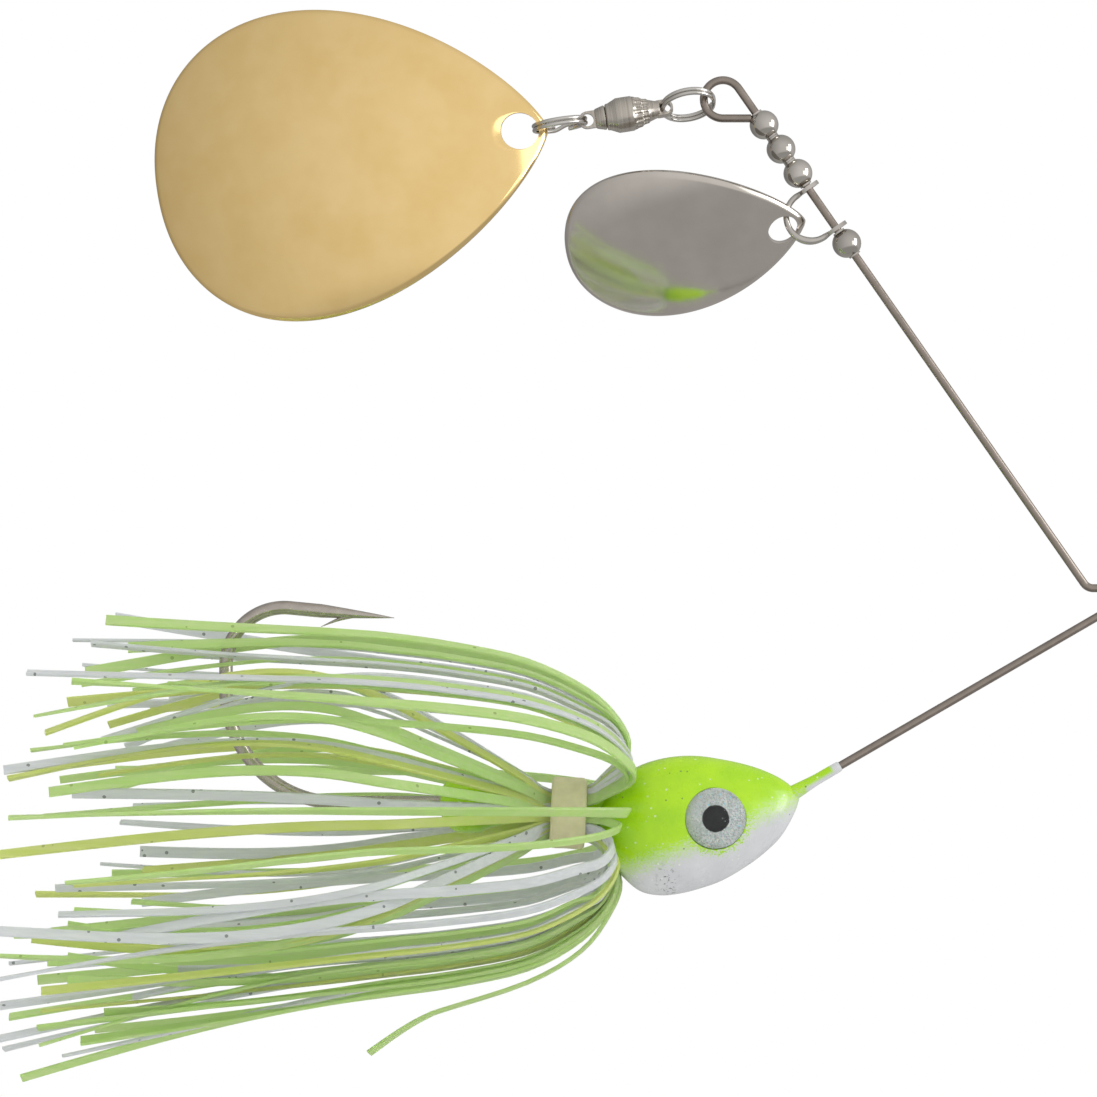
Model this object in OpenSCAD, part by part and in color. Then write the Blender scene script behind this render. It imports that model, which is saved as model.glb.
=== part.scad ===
// Spinnerbait: a bent wire form with a painted lead head and hook on its lower arm, a beaded
// upper arm with a small blade on a clevis, and a large blade on a ball-bearing swivel.
// Origin: inside of the line-tie bend. +Z: up the line that the lure hangs from.
// Everything is drawn in the XZ plane with the hook's shank along Z, then leaned by hang_lean.

/* [Hang] */
// Lean of the hook's shank from the vertical while the lure hangs from its line
hang_lean = 8; // [0:1:12]
// Lean of the swivel, its rings and the large blade from the hook's shank
chain_lean = 8.8; // [0:0.1:12]

/* [Wire form] */
// Diameter of the wire
wire_d = 0.89; // [0.7:0.01:1.1]
// Centre-line radius of the line tie
tie_r = 1.3; // [1.1:0.1:2]
// Length of the short straight between the line tie and the upper arm
tie_flat = 1.68; // [1.4:0.02:3]
// Lean of the lower arm from the shank's direction
lower_lean = 30.1; // [24:0.1:36]
// Length of the lower arm from the line tie to the head's nose
lower_arm = 39.2; // [30:0.1:50]
// Lean of the upper arm from the shank's direction
upper_lean = 55.1; // [48:0.1:62]
// Length of the upper arm from its bend to the end loop
upper_arm = 67; // [56:0.5:81]
// Centre-line radius of the end loop
loop_r = 2.1; // [1.7:0.1:2.6]

/* [Head] */
// Length of the head
head_l = 22.33; // [18:0.1:27]
// Half thickness of the head over its half height
head_flat = 0.7; // [0.5:0.01:0.9]
// How far the hook's shank lies below the point where the wire enters the nose
shank_drop = 1.5; // [1:0.1:2.2]
// Length of the wire inside the head
wire_in_head = 7; // [4:0.5:9]
// Length of the painted sleeve on the wire ahead of the nose
sleeve_l = 5.1; // [2:0.1:8]
// Wall of the painted sleeve
sleeve_wall = 0.12; // [0.1:0.02:0.4]
// Clearance round what is cast into the head
cast_gap = 0.02; // [0.01:0.01:0.05]

/* [Eyes] */
// Diameter of an eye
eye_d = 6.6; // [5:0.1:8]
// Distance of the eye's centre from the nose
eye_back = 9.5; // [8:0.1:11]
// Distance of the eye's centre below the shank
eye_drop = 1.36; // [1:0.02:2.2]
// Distance of the eye's seat from the middle plane
eye_seat = 3.9; // [3.5:0.1:4.2]
// Thickness of the eye's foil
foil_t = 0.25; // [0.15:0.05:0.4]
// Height of the eye's clear dome
dome_h = 1; // [0.6:0.1:1.4]
// Gap round the eye in its socket
eye_gap = 0.05; // [0.03:0.01:0.1]

/* [Skirt keeper and collar] */
// Radius of the keeper's neck
neck_r = 1.05; // [0.95:0.05:1.1]
// Radius of the keeper's barb
barb_r = 3.3; // [2.6:0.1:3.6]
// Length of the keeper behind the head
keeper_l = 17.2; // [16:0.1:20]
// Outer diameter of the collar
collar_d = 7.9; // [7.5:0.1:9]
// Inner diameter of the collar
collar_hole_d = 6.3; // [6:0.1:6.6]
// Length of the collar
collar_l = 3.9; // [3:0.1:5]
// Distance of the collar's middle behind the head
collar_gap = 3.2; // [3:0.1:4]
// Distance of the collar's axis below the shank
collar_drop = 1.2; // [0.8:0.1:1.2]

/* [Hook] */
// Diameter of the hook's wire
hook_d = 1.5; // [1.2:0.05:1.8]
// Distance of the shank's front end from the nose
shank_start = 9; // [8:0.1:12]
// Distance of the back of the bend from the nose
bend_back = 63.1; // [56:0.1:75]
// Distance between the shank and the back corner of the point's limb
hook_gape = 22.1; // [18:0.1:26]
// Centre-line radius of the bend next to the shank
bend_r = 12.4; // [8:0.1:14]
// Centre-line radius of the bend next to the point
point_bend_r = 6.4; // [4:0.1:8]
// Length of the point's limb from the back of the bend
point_l = 18.5; // [15:0.1:24]
// Lean of the point's limb towards the shank
point_lean = 5.5; // [0:0.5:10]

/* [Skirt] */
// Number of strands in each of the skirt's colours
strand_count = 8; // [4:1:10]
// Width of a strand
strand_w = 1; // [0.8:0.1:1.1]
// Thickness of a strand
strand_t = 0.35; // [0.25:0.05:0.4]
// How far the strands reach behind the nose
skirt_end = 86.5; // [76:0.5:100]
// How far the strands' ends droop below the shank
skirt_droop = 9; // [4:0.5:14]

/* [Beads] */
// Diameter of a bead
bead_d = 3.18; // [2.6:0.02:3.9]
// Gap between one bead and the next
bead_gap = 0.07; // [0.05:0.01:0.3]
// Distance of the first bead's centre from the end loop
bead_start = 4.9; // [4.8:0.1:5.6]
// Radial clearance of beads and clevis on the wire
run_gap = 0.06; // [0.03:0.01:0.1]
// Gap between the clevis's ears and the beads next to them
ear_gap = 0.15; // [0.1:0.01:0.3]

/* [Clevis] */
// Distance between the clevis's two ears
clevis_span = 5.4; // [5:0.1:6]
// Depth of the clevis's bow from the wire
clevis_depth = 4.25; // [4:0.05:5]
// Diameter of the bow
bow_d = 0.66; // [0.5:0.02:0.8]
// Diameter of an ear
ear_d = 2.6; // [2.2:0.1:3]
// Thickness of an ear
ear_t = 0.5; // [0.4:0.05:0.6]

/* [Silver blade] */
// Length of the silver blade
silver_l = 26.6; // [22:0.1:30]
// Width of the silver blade
silver_w = 18.1; // [16:0.1:22]
// Diameter of the silver blade's hole
silver_hole_d = 3.2; // [3.1:0.05:3.5]
// Distance of the silver blade's hole centre from its tip
silver_tip_l = 2.5; // [2.4:0.05:3]
// Turn of the silver blade about its long axis
silver_twist = 34; // [30:1:38]
// Lean of the silver blade from the shank's direction
silver_lean = 8.6; // [5:0.1:12]

/* [Gold blade] */
// Length of the gold blade
gold_l = 44; // [36:0.1:52]
// Width of the gold blade
gold_w = 34.1; // [28:0.1:41]
// Diameter of the gold blade's hole
gold_hole_d = 4.05; // [3.6:0.05:4.4]
// Distance of the gold blade's hole centre from its tip
gold_tip_l = 3; // [2.8:0.05:3.4]

/* [Blades] */
// Thickness of the blades' sheet
sheet_t = 0.6; // [0.5:0.05:0.8]
// Radius of the dish that a blade is pressed to, over its length
dish_ratio = 1.1; // [1:0.05:1.6]

/* [Split rings] */
// Centre-line radius of the split rings
ring_r = 2.87; // [2.6:0.01:3.2]
// Diameter of the split rings' wire
ring_wire = 0.46; // [0.4:0.01:0.5]
// Turn of the loop ring about the chain's axis
loop_ring_turn = 68; // [56:1:75]

/* [Swivel] */
// Distance between the swivel's two eye holes
swivel_pitch = 8.58; // [8:0.01:10.3]
// Largest diameter of the swivel's body
swivel_d = 3.84; // [3.4:0.02:4.4]
// Width of the swivel's tabs
tab_w = 1.9; // [1.8:0.05:2.2]
// Thickness of the swivel's tabs
tab_t = 0.7; // [0.6:0.05:0.8]
// Diameter of the swivel's eye holes
eye_hole_d = 1.4; // [1.36:0.02:1.5]
// Diameter of the swivel's inner shaft
stem_d = 1; // [0.8:0.05:1.2]
// Number of balls in the swivel's race
ball_count = 8; // [6:1:9]

/* [Hidden] */
$fn = 48;

// Wire form: points are [x, z] in the plane of the arms
wire_r = wire_d / 2;
tie_centre = [0, wire_r - tie_r];
lower_dir = [sin(lower_lean), -cos(lower_lean)];
upper_dir = [-sin(upper_lean), -cos(upper_lean)];
lower_start = tie_centre + tie_r * [cos(lower_lean), sin(lower_lean)];
wire_entry = lower_start + lower_arm * lower_dir;
wire_end = wire_entry + wire_in_head * lower_dir;
tie_corner = tie_centre + [-tie_r, -tie_flat];
upper_trim = tie_r * tan(upper_lean / 2);
loop_start = tie_corner + upper_arm * upper_dir;
loop_centre = loop_start + loop_r * [-upper_dir[1], upper_dir[0]];
loop_end = loop_centre + [loop_r, 0];
tail_gap = 0.08;
loop_tail = loop_start[1] - loop_centre[1] - bead_start * upper_dir[1] - bead_d / 2 - tail_gap;

weld = 0.005;

// Head: x0 and z0 are the hook's axis and the nose
shank_x = wire_entry[0] + shank_drop;
nose_z = wire_entry[1];
collar_back = head_l + collar_gap;
keeper_end = head_l + keeper_l;
hook_r = hook_d / 2;

// Share of the head's length from the nose, and height above and below the shank there, in mm
head_stations = [
    [0, 0.66, -0.66], [0.05, 1.9, 2.2], [0.2, 3.75, 5.85], [0.4, 4.85, 8.6], [0.57, 5.2, 9.75],
    [0.72, 4.75, 10.1], [0.885, 2.7, 7.8], [1, -2.4, 2.4]
];
head_steps = 5;
head_sides = 40;
sleeve_sunk = 3;
keeper_barb_l = 4.4;
barb_crest_l = 2;

// Hook's point: length of its taper, and where the barb leaves it, ends and stands off
taper_l = 8;
tip_r = 0.03;
barb_root_back = 4.9;
barb_tip_back = 8.1;
barb_lift = 1.6;
barb_root_r = 0.4;
barb_tip_r = 0.04;

// Upper arm's pieces, as distances up the arm from the end loop
bead_pitch = bead_d + bead_gap;
ear_low = bead_start + 2 * bead_pitch + bead_d / 2 + ear_t / 2 + ear_gap;
bead_high = ear_low + clevis_span + ear_t / 2 + bead_d / 2 + ear_gap;
bead_places = [bead_start, bead_start + bead_pitch, bead_start + 2 * bead_pitch, bead_high];
bead_neck_r = 0.68;
bead_neck_h = bead_d + 0.04;
bow_bend = clevis_span / 2;

// Where the silver blade's hole lies on the bow: up the arm from the lower ear, past the bow,
// and across the sheet
silver_along = 2;
silver_past = 0.55;
silver_across = -0.45;
silver_pitch = 8;

// Skirt: angle of the first strand from the top of the bundle, which keeps the hook's plane clear,
// the gap between layers of strands, and the least and greatest flare with its scatter
first_strand = 20;
collar_round = 0.4;
layer_gap = 0.1;
barb_gap = 0.4;
flare_low = 8.5;
flare_more = 11;
flare_stride = 7;
flare_steps = 11;

// Swivel chain, as distances down the chain from the end loop's centre
loop_slack = 0.42;
eye_slack = 0.24;
hole_slack = 0.2;
loop_ring_at = ring_r + loop_r - wire_r - ring_wire / 2 - loop_slack;
upper_eye_at = loop_ring_at + ring_r - eye_slack;
lower_eye_at = upper_eye_at + swivel_pitch;
blade_ring_at = lower_eye_at + ring_r + eye_slack - 0.05;
gold_hole_at = blade_ring_at + ring_r - ring_wire / 2 - hole_slack + gold_hole_d / 2;

// Swivel's shape, as heights above its lower eye hole
shaft_root = 0.9;
tab_root_l = 0.9;
belly_start = 3.3;
belly_l = 1.8;
tail_r = 0.85;
body_start = 2.15;
collar_r = 1.2;
floor_z = 2.95;
ball_r = 0.32;
ball_ring_r = 1;
race_r = 1.45;
race_gap = 0.05;
flange_z = floor_z + 2 * ball_r + 2 * race_gap;
flange_t = 0.4;

// Blade outline: half width over length, as a power curve at each end, and the place of the
// dish's deepest point as a share of the length from the tip
tip_power = 0.76;
end_power = 0.46;
dome_share = 0.55;
outline_points = 36;
gold_pitch = 6;

function unit(v) = v / norm(v);
function side(v) = [-v[1], v[0]];
function curve(a, b, c, d, t) = b + t * (c - a) / 2 + t * t * (2 * a - 5 * b + 4 * c - d) / 2
    + t * t * t * (3 * b - a - 3 * c + d) / 2;

// A straight round rod between two points of the XZ plane
module rod(from, to, r1, r2) {
    run = to - from;
    translate([from[0], 0, from[1]])
        rotate([0, atan2(run[0], run[1]), 0])
            cylinder(h = norm(run), r1 = r1, r2 = r2);
}

// A bent round rod about a centre in the XZ plane, from one angle through a sweep, with a
// hair of extra thickness where it meets the straight rods
module bend(centre, bend_radius, from, sweep, r) {
    translate([centre[0], 0, centre[1]])
        rotate([90, 0, 0]) rotate([0, 0, from]) {
            rotate_extrude(angle = sweep) translate([bend_radius, 0]) circle(r);
            for (turn = [0, sweep]) rotate([0, 0, turn]) translate([bend_radius, 0, 0]) sphere(r + weld);
        }
}

module hung() { rotate([0, hang_lean, 0]) children(); }

module at_nose() { hung() translate([shank_x, 0, nose_z]) children(); }

// Up the arm: local +Z runs up the upper arm, and local +X towards the skirt
module on_arm(up) {
    hung() translate([loop_start[0], 0, loop_start[1]])
        rotate([0, upper_lean, 0]) translate([0, 0, up]) children();
}

// Down the chain: local -Z runs down the swivel chain
module on_chain(down) {
    hung() translate([loop_centre[0], 0, loop_centre[1]])
        rotate([0, -chain_lean, 0]) translate([0, 0, -down]) children();
}

module wire_form() {
    color([0.55, 0.5, 0.46]) hung() {
        rod(wire_end, lower_start, wire_r, wire_r);
        bend(tie_centre, tie_r, lower_lean, 180 - lower_lean, wire_r);
        rod(tie_centre + [-tie_r, 0], tie_corner + [0, upper_trim], wire_r, wire_r);
        bend(tie_corner + [-tie_r, upper_trim], tie_r, -upper_lean, upper_lean, wire_r);
        rod(tie_corner + upper_trim * upper_dir, loop_start, wire_r, wire_r);
        bend(loop_centre, loop_r, 180 - upper_lean, 180 + upper_lean, wire_r);
        rod(loop_end, loop_end + [0, loop_tail], wire_r, wire_r);
    }
}

// A closed skin through rings of points, from the first ring to the last
module loft(rings) {
    n = len(rings[0]);
    last = len(rings) - 1;
    polyhedron(
        points = [for (ring = rings) each ring],
        faces = [
            [for (j = [0:n - 1]) j],
            for (i = [0:last - 1], j = [0:n - 1])
                [(i + 1) * n + j, (i + 1) * n + (j + 1) % n, i * n + (j + 1) % n, i * n + j],
            [for (j = [n - 1:-1:0]) last * n + j]
        ]
    );
}

// Station i of the head, with its ends mirrored so that the skin closes round
function head_station(i) =
    i < 0 ? mirrored(head_stations[1])
    : i >= len(head_stations) ? mirrored(head_stations[len(head_stations) - 2])
    : head_stations[i];
function mirrored(s) = [s[0], -s[2], -s[1]];
function head_ring(s) = [
    for (j = [0:head_sides - 1])
        let (turn = 360 * j / head_sides, mid = (s[1] - s[2]) / 2, half = (s[1] + s[2]) / 2)
            [-mid - half * cos(turn), head_flat * half * sin(turn), -s[0] * head_l]
];
head_rings = [
    for (i = [0:len(head_stations) - 2], k = [0:head_steps - 1])
        if (i + k > 0)
            head_ring(curve(
                head_station(i - 1), head_station(i), head_station(i + 1), head_station(i + 2),
                k / head_steps
            ))
];

module keeper() {
    shoulder = collar_back + collar_l / 2 + 1;
    barb_front = keeper_end - keeper_barb_l;
    barb_back = barb_front + barb_crest_l;
    rotate([180, 0, 0]) rotate_extrude() polygon([
        [0, head_l - 3], [neck_r, head_l - 3], [neck_r, shoulder], [barb_r - 0.2, barb_front],
        [barb_r, barb_front + 0.4], [barb_r, barb_back - 0.5], [barb_r - 0.5, barb_back],
        [hook_r + 0.5, keeper_end], [0, keeper_end]
    ]);
}

module eye_socket(far) {
    mirror([0, far ? 0 : 1, 0])
        translate([eye_drop, eye_seat, -eye_back])
            rotate([-90, 0, 0]) cylinder(h = 4, d = eye_d + 2 * eye_gap);
}

module lead_head() {
    sleeve_end = wire_entry - sleeve_l * lower_dir;
    color([0.62, 0.84, 0.05]) difference() {
        union() {
            at_nose() loft(head_rings);
            at_nose() keeper();
            hung() rod(
                wire_entry + sleeve_sunk * lower_dir, sleeve_end,
                wire_r + 2 * sleeve_wall, wire_r + sleeve_wall
            );
        }
        at_nose() rod([0, -shank_start + cast_gap], [0, -bend_back], hook_r + cast_gap, hook_r + cast_gap);
        hung() rod(
            wire_end + cast_gap * lower_dir, sleeve_end - lower_dir, wire_r + cast_gap, wire_r + cast_gap
        );
        at_nose() eye_socket(false);
        at_nose() eye_socket(true);
    }
}

module hook() {
    limb_dir = [sin(point_lean), cos(point_lean)];
    turn = 90 + point_lean;
    limb_corner = [-hook_gape, -bend_back];
    first_centre = [-bend_r, bend_r - bend_back];
    second_centre = limb_corner + point_bend_r * [tan(turn / 2), 1];
    limb_start = second_centre + point_bend_r * [-cos(point_lean), sin(point_lean)];
    limb_l = (point_l - bend_back - limb_start[1]) / cos(point_lean);
    point = limb_start + limb_l * limb_dir;
    barb_root = point - barb_root_back * limb_dir;
    barb_tip = point - barb_tip_back * limb_dir + [barb_lift, 0];
    color([0.5, 0.47, 0.44]) at_nose() {
        rod([0, -shank_start], [0, first_centre[1]], hook_r, hook_r);
        bend(first_centre, bend_r, -90, 90, hook_r);
        rod([-bend_r, -bend_back], [second_centre[0], -bend_back], hook_r, hook_r);
        bend(second_centre, point_bend_r, -90 - turn, turn, hook_r);
        rod(limb_start, point - taper_l * limb_dir, hook_r, hook_r);
        rod(point - taper_l * limb_dir, point, hook_r, tip_r);
        rod(barb_root, barb_tip, barb_root_r, barb_tip_r);
    }
}

module eye_foil(far) {
    color([0.8, 0.8, 0.82]) at_nose() mirror([0, far ? 0 : 1, 0])
        translate([eye_drop, eye_seat, -eye_back]) rotate([-90, 0, 0]) cylinder(h = foil_t, d = eye_d);
}

module eye_dome(far) {
    eye_r = eye_d / 2;
    ball_r = (eye_r * eye_r + dome_h * dome_h) / (2 * dome_h);
    color([0.85, 0.9, 0.95]) at_nose() mirror([0, far ? 0 : 1, 0])
        translate([eye_drop, eye_seat + foil_t, -eye_back]) rotate([-90, 0, 0])
            intersection() {
                translate([0, 0, dome_h - ball_r]) sphere(ball_r, $fn = 96);
                cylinder(h = 2 * dome_h, d = eye_d);
            }
}

module skirt_collar() {
    wall = (collar_d - collar_hole_d) / 2;
    color([0.76, 0.74, 0.55]) at_nose()
        translate([collar_drop, 0, -collar_back - collar_l / 2])
            rotate_extrude() translate([collar_hole_d / 2, 0]) {
                square([wall - collar_round, collar_l]);
                translate([0, collar_round]) square([wall, collar_l - 2 * collar_round]);
                for (z = [collar_round, collar_l - collar_round])
                    translate([wall - collar_round, z]) circle(collar_round);
            }
}

// Centre of the bundle of strands below the shank, at a distance behind the nose
function bundle_drop(back) =
    let (
        leave = collar_back + collar_l / 2 + 0.4,
        free = max(0, back - keeper_end) / (skirt_end - keeper_end)
    )
        collar_drop * (1 - min(1, max(0, back - leave) / 6)) + skirt_droop * free * free;

// Route of strand i as [distance behind the nose, radius from the bundle's centre]
function strand_route(i) =
    let (
        layer = i % 2,
        deep = (1 - layer) * (strand_t + layer_gap),
        inside = collar_hole_d / 2 - strand_t / 2 - layer_gap - deep,
        front = collar_back - collar_l / 2 - 2 * layer_gap - strand_t / 2 - deep,
        back = collar_back + collar_l / 2,
        over = barb_r + barb_gap + strand_t / 2 + layer * (strand_t + 0.15),
        flare = flare_low + flare_more * ((i * flare_stride) % flare_steps) / (flare_steps - 1),
        reach = skirt_end - keeper_end
    )
        [
            [skirt_end - 2 - i % 3, over + 2.6], [keeper_end + 0.5 * reach, over + 1.6],
            [keeper_end + 0.2 * reach, over + 0.8], [keeper_end, over + 0.2], [keeper_end - 4.6, over],
            [back + 2.6, inside + 0.45], [back + 0.3, inside], [front + 1, inside],
            [front + 0.35, inside + 0.1],
            [front, inside + 0.6], [front + 0.05, inside + 1.9], [front + 2.2, 0.45 * flare + 1.8],
            [front + 6.5, 0.78 * flare], [front + 14, 0.94 * flare], [front + 26, flare],
            [front + 44, 1.03 * flare], [skirt_end - i % 4, 1.02 * flare]
        ];

module strand(i) {
    route = strand_route(i);
    last = len(route) - 1;
    place = first_strand + i * (360 - 2 * first_strand) / (3 * strand_count - 1);
    loft([
        for (k = [0:last])
            let (
                run = unit(route[min(k + 1, last)] - route[max(k - 1, 0)]),
                out = side(run),
                drop = bundle_drop(route[k][0])
            )
                [
                    for (corner = [[1, 1], [-1, 1], [-1, -1], [1, -1]])
                        let (
                            at = route[k] + corner[1] * strand_t / 2 * out,
                            across = corner[0] * strand_w / 2
                        )
                            [
                                drop - at[1] * cos(place) - across * sin(place),
                                at[1] * sin(place) - across * cos(place), -at[0]
                            ]
                ]
    ]);
}

module strands(first) {
    at_nose() for (i = [0:strand_count - 1]) strand(3 * i + first);
}

module green_strands() { color([0.69, 0.85, 0.45]) strands(0); }
module pearl_strands() { color([0.8, 0.83, 0.83]) strands(1); }
module lime_strands() { color([0.78, 0.86, 0.48]) strands(2); }

module bead(i) {
    color([0.72, 0.7, 0.66]) on_arm(bead_places[i]) difference() {
        union() {
            sphere(d = bead_d, $fn = 96);
            translate([0, 0, -bead_neck_h / 2]) cylinder(h = bead_neck_h, r = bead_neck_r);
        }
        translate([0, 0, -bead_d]) cylinder(h = 2 * bead_d, r = wire_r + run_gap);
    }
}

module clevis() {
    bow_r = bow_d / 2;
    leg = clevis_depth - bow_bend;
    color([0.74, 0.72, 0.68]) on_arm(ear_low) {
        for (z = [0, clevis_span])
            difference() {
                union() {
                    translate([0, 0, z - ear_t / 2]) cylinder(h = ear_t, d = ear_d);
                    translate([0, 0, z]) rotate([0, 90, 0]) cylinder(h = leg, r = bow_r);
                }
                translate([0, 0, z - ear_d]) cylinder(h = 2 * ear_d, r = wire_r + run_gap);
            }
        bend([leg, bow_bend], bow_bend, -90, 180, bow_r);
    }
}

// Half width of a blade of width w, at a share u of its length from the tip
function half_width(u, w) =
    let (peak = tip_power / (tip_power + end_power))
        w / 2 * pow(u / peak, tip_power) * pow((1 - u) / (1 - peak), end_power);
function outline(l, w, tip_l, s) = [
    for (k = [0:outline_points])
        let (u = (1 - cos(180 * k / outline_points)) / 2) [s * half_width(u, w), tip_l - u * l]
];

// A dished blade: its hole at the origin, its length down -Z and its domed side towards -Y
module blade(l, w, hole_d, tip_l) {
    one_side = outline(l, w, tip_l, 1);
    other_side = outline(l, w, tip_l, -1);
    dish_r = dish_ratio * l;
    dome_z = tip_l - dome_share * l;
    dish_y = sqrt(dish_r * dish_r - dome_z * dome_z);
    difference() {
        intersection() {
            translate([0, dish_y, dome_z]) difference() {
                sphere(dish_r, $fn = 180);
                sphere(dish_r - sheet_t, $fn = 180);
            }
            translate([0, l / 4, 0]) rotate([90, 0, 0]) linear_extrude(height = l / 2)
                polygon(concat(one_side, [for (k = [outline_points - 1:-1:1]) other_side[k]]));
        }
        rotate([90, 0, 0]) cylinder(h = l, d = hole_d, center = true);
    }
}

module silver_blade() {
    color([0.7, 0.68, 0.65]) on_arm(ear_low + silver_along)
        translate([clevis_depth + silver_past, 0, 0])
            rotate([0, -upper_lean - silver_lean, 0]) rotate([silver_pitch, 0, silver_twist])
                translate([0, silver_across, 0])
                    blade(silver_l, silver_w, silver_hole_d, silver_tip_l);
}

module gold_blade() {
    color([0.85, 0.7, 0.4]) on_chain(gold_hole_at) rotate([gold_pitch, 0, 0])
        blade(gold_l, gold_w, gold_hole_d, gold_tip_l);
}

module split_ring() {
    rotate([90, 0, 0]) rotate_extrude(convexity = 4) {
        for (side = [-1, 1]) translate([ring_r, side * ring_wire / 2]) circle(d = ring_wire);
        translate([ring_r - ring_wire / 4, -ring_wire / 2]) square([ring_wire / 2, ring_wire]);
    }
}

module loop_ring() {
    color([0.72, 0.7, 0.67]) on_chain(loop_ring_at) rotate([0, 0, loop_ring_turn]) split_ring();
}

module blade_ring() {
    color([0.72, 0.7, 0.67]) on_chain(blade_ring_at) rotate([0, 0, 90]) split_ring();
}

// A flattened tab with an eye hole through it along Y, its root at height root on the Z axis
module eye_tab(root) {
    difference() {
        union() {
            rotate([90, 0, 0]) cylinder(h = tab_t, d = tab_w, center = true);
            translate([-tab_w / 2, -tab_t / 2, min(0, root)]) cube([tab_w, tab_t, abs(root)]);
        }
        rotate([90, 0, 0]) cylinder(h = 2 * tab_t, d = eye_hole_d, center = true);
    }
}

module swivel_shaft() {
    stem_r = stem_d / 2;
    stem_root = body_start - 0.3;
    color([0.6, 0.57, 0.52]) on_chain(lower_eye_at) {
        eye_tab(shaft_root);
        translate([0, 0, shaft_root - 0.2])
            cylinder(h = body_start - shaft_root, r1 = tab_w / 2, r2 = collar_r);
        translate([0, 0, stem_root]) cylinder(h = flange_z + flange_t - stem_root, r = stem_r);
        translate([0, 0, flange_z]) cylinder(h = flange_t, r = race_r - race_gap);
    }
}

module swivel_balls() {
    color([0.8, 0.8, 0.8]) on_chain(lower_eye_at)
        for (i = [0:ball_count - 1])
            rotate([0, 0, 360 * i / ball_count]) translate([ball_ring_r, 0, floor_z + ball_r + race_gap])
                sphere(ball_r);
}

module swivel_body() {
    max_r = swivel_d / 2;
    tail_z = swivel_pitch - tab_root_l / 2;
    color([0.58, 0.55, 0.5]) on_chain(lower_eye_at) {
        difference() {
            rotate_extrude() polygon([
                [0, body_start], [collar_r, body_start], [max_r, belly_start],
                [max_r, belly_start + belly_l], [tail_r, tail_z], [0, tail_z]
            ]);
            translate([0, 0, body_start - 1])
                cylinder(h = floor_z - body_start + 1.1, r = stem_d / 2 + race_gap);
            translate([0, 0, floor_z]) cylinder(h = flange_z + flange_t + 0.2 - floor_z, r = race_r);
        }
        translate([0, 0, swivel_pitch]) rotate([0, 0, loop_ring_turn - 90]) eye_tab(-tab_root_l);
    }
}

wire_form();
lead_head();
hook();
eye_foil(false);  // near_eye_foil
eye_dome(false);  // near_eye_dome
eye_foil(true);  // far_eye_foil
eye_dome(true);  // far_eye_dome
skirt_collar();
green_strands();
pearl_strands();
lime_strands();
bead(0);  // bead_1
bead(1);  // bead_2
bead(2);  // bead_3
bead(3);  // bead_4
clevis();
silver_blade();
loop_ring();
swivel_body();
swivel_balls();
swivel_shaft();
blade_ring();
gold_blade();
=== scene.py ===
"""Spinnerbait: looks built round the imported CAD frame.

Pieces are laid out in millimetres in the lure's own plane, with the hook's shank along Z and
the line tie at the origin, then leaned by HANG_LEAN and scaled to metres. Each piece rides on
the CAD body that it belongs to.
"""
import math
import random

import bmesh
import bpy
from mathutils import Matrix, Vector


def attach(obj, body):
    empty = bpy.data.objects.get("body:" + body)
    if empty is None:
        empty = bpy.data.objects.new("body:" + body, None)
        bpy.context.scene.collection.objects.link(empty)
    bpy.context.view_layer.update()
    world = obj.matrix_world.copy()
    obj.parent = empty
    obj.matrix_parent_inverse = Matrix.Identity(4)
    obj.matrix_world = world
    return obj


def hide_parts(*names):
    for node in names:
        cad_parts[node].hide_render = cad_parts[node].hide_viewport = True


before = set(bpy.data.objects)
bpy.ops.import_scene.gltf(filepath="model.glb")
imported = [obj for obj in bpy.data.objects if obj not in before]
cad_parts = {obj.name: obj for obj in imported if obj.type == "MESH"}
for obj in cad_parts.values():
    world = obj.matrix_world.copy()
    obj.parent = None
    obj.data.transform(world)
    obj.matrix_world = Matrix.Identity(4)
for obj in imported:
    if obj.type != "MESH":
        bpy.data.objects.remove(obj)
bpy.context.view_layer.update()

MM = 0.001
HANG_LEAN = 8.0


# ---------------------------------------------------------------- places

def turn_y(degrees):
    return Matrix.Rotation(math.radians(degrees), 4, "Y")


def turn_z(degrees):
    return Matrix.Rotation(math.radians(degrees), 4, "Z")


def turn_x(degrees):
    return Matrix.Rotation(math.radians(degrees), 4, "X")


def moved(x, y, z):
    return Matrix.Translation((x, y, z))


HUNG = Matrix.Scale(MM, 4) @ turn_y(HANG_LEAN)
lean = turn_y(HANG_LEAN).to_3x3()

# The camera looks square on to the plane of the arms, with the line tie at the right
VIEW_MIDDLE = Vector((-5.665, 0.0, -61.765))
CAMERA_DISTANCE = 335.0
CAMERA_LENS = 100.0


def add_camera():
    data = bpy.data.cameras.new("camera")
    data.lens = CAMERA_LENS
    data.sensor_width = 36.0
    data.clip_start = 0.01
    data.clip_end = 20.0
    camera = bpy.data.objects.new("camera", data)
    bpy.context.scene.collection.objects.link(camera)
    place = HUNG @ (VIEW_MIDDLE - Vector((0, CAMERA_DISTANCE, 0)))
    right, up = lean @ Vector((0, 0, 1)), lean @ Vector((-1, 0, 0))
    back = right.cross(up)
    camera.matrix_world = Matrix.Translation(place) @ Matrix((right, up, back)).transposed().to_4x4()
    bpy.context.scene.camera = camera


add_camera()

# Wire form, in mm and degrees
WIRE_R = 0.445
TIE_R = 1.3
TIE_FLAT = 1.68
LOWER_LEAN = 30.1
LOWER_ARM = 39.2
UPPER_LEAN = 55.1
UPPER_ARM = 67.0
LOOP_R = 2.1
LOOP_TAIL = 3.1
WIRE_IN_HEAD = 7.0


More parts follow.
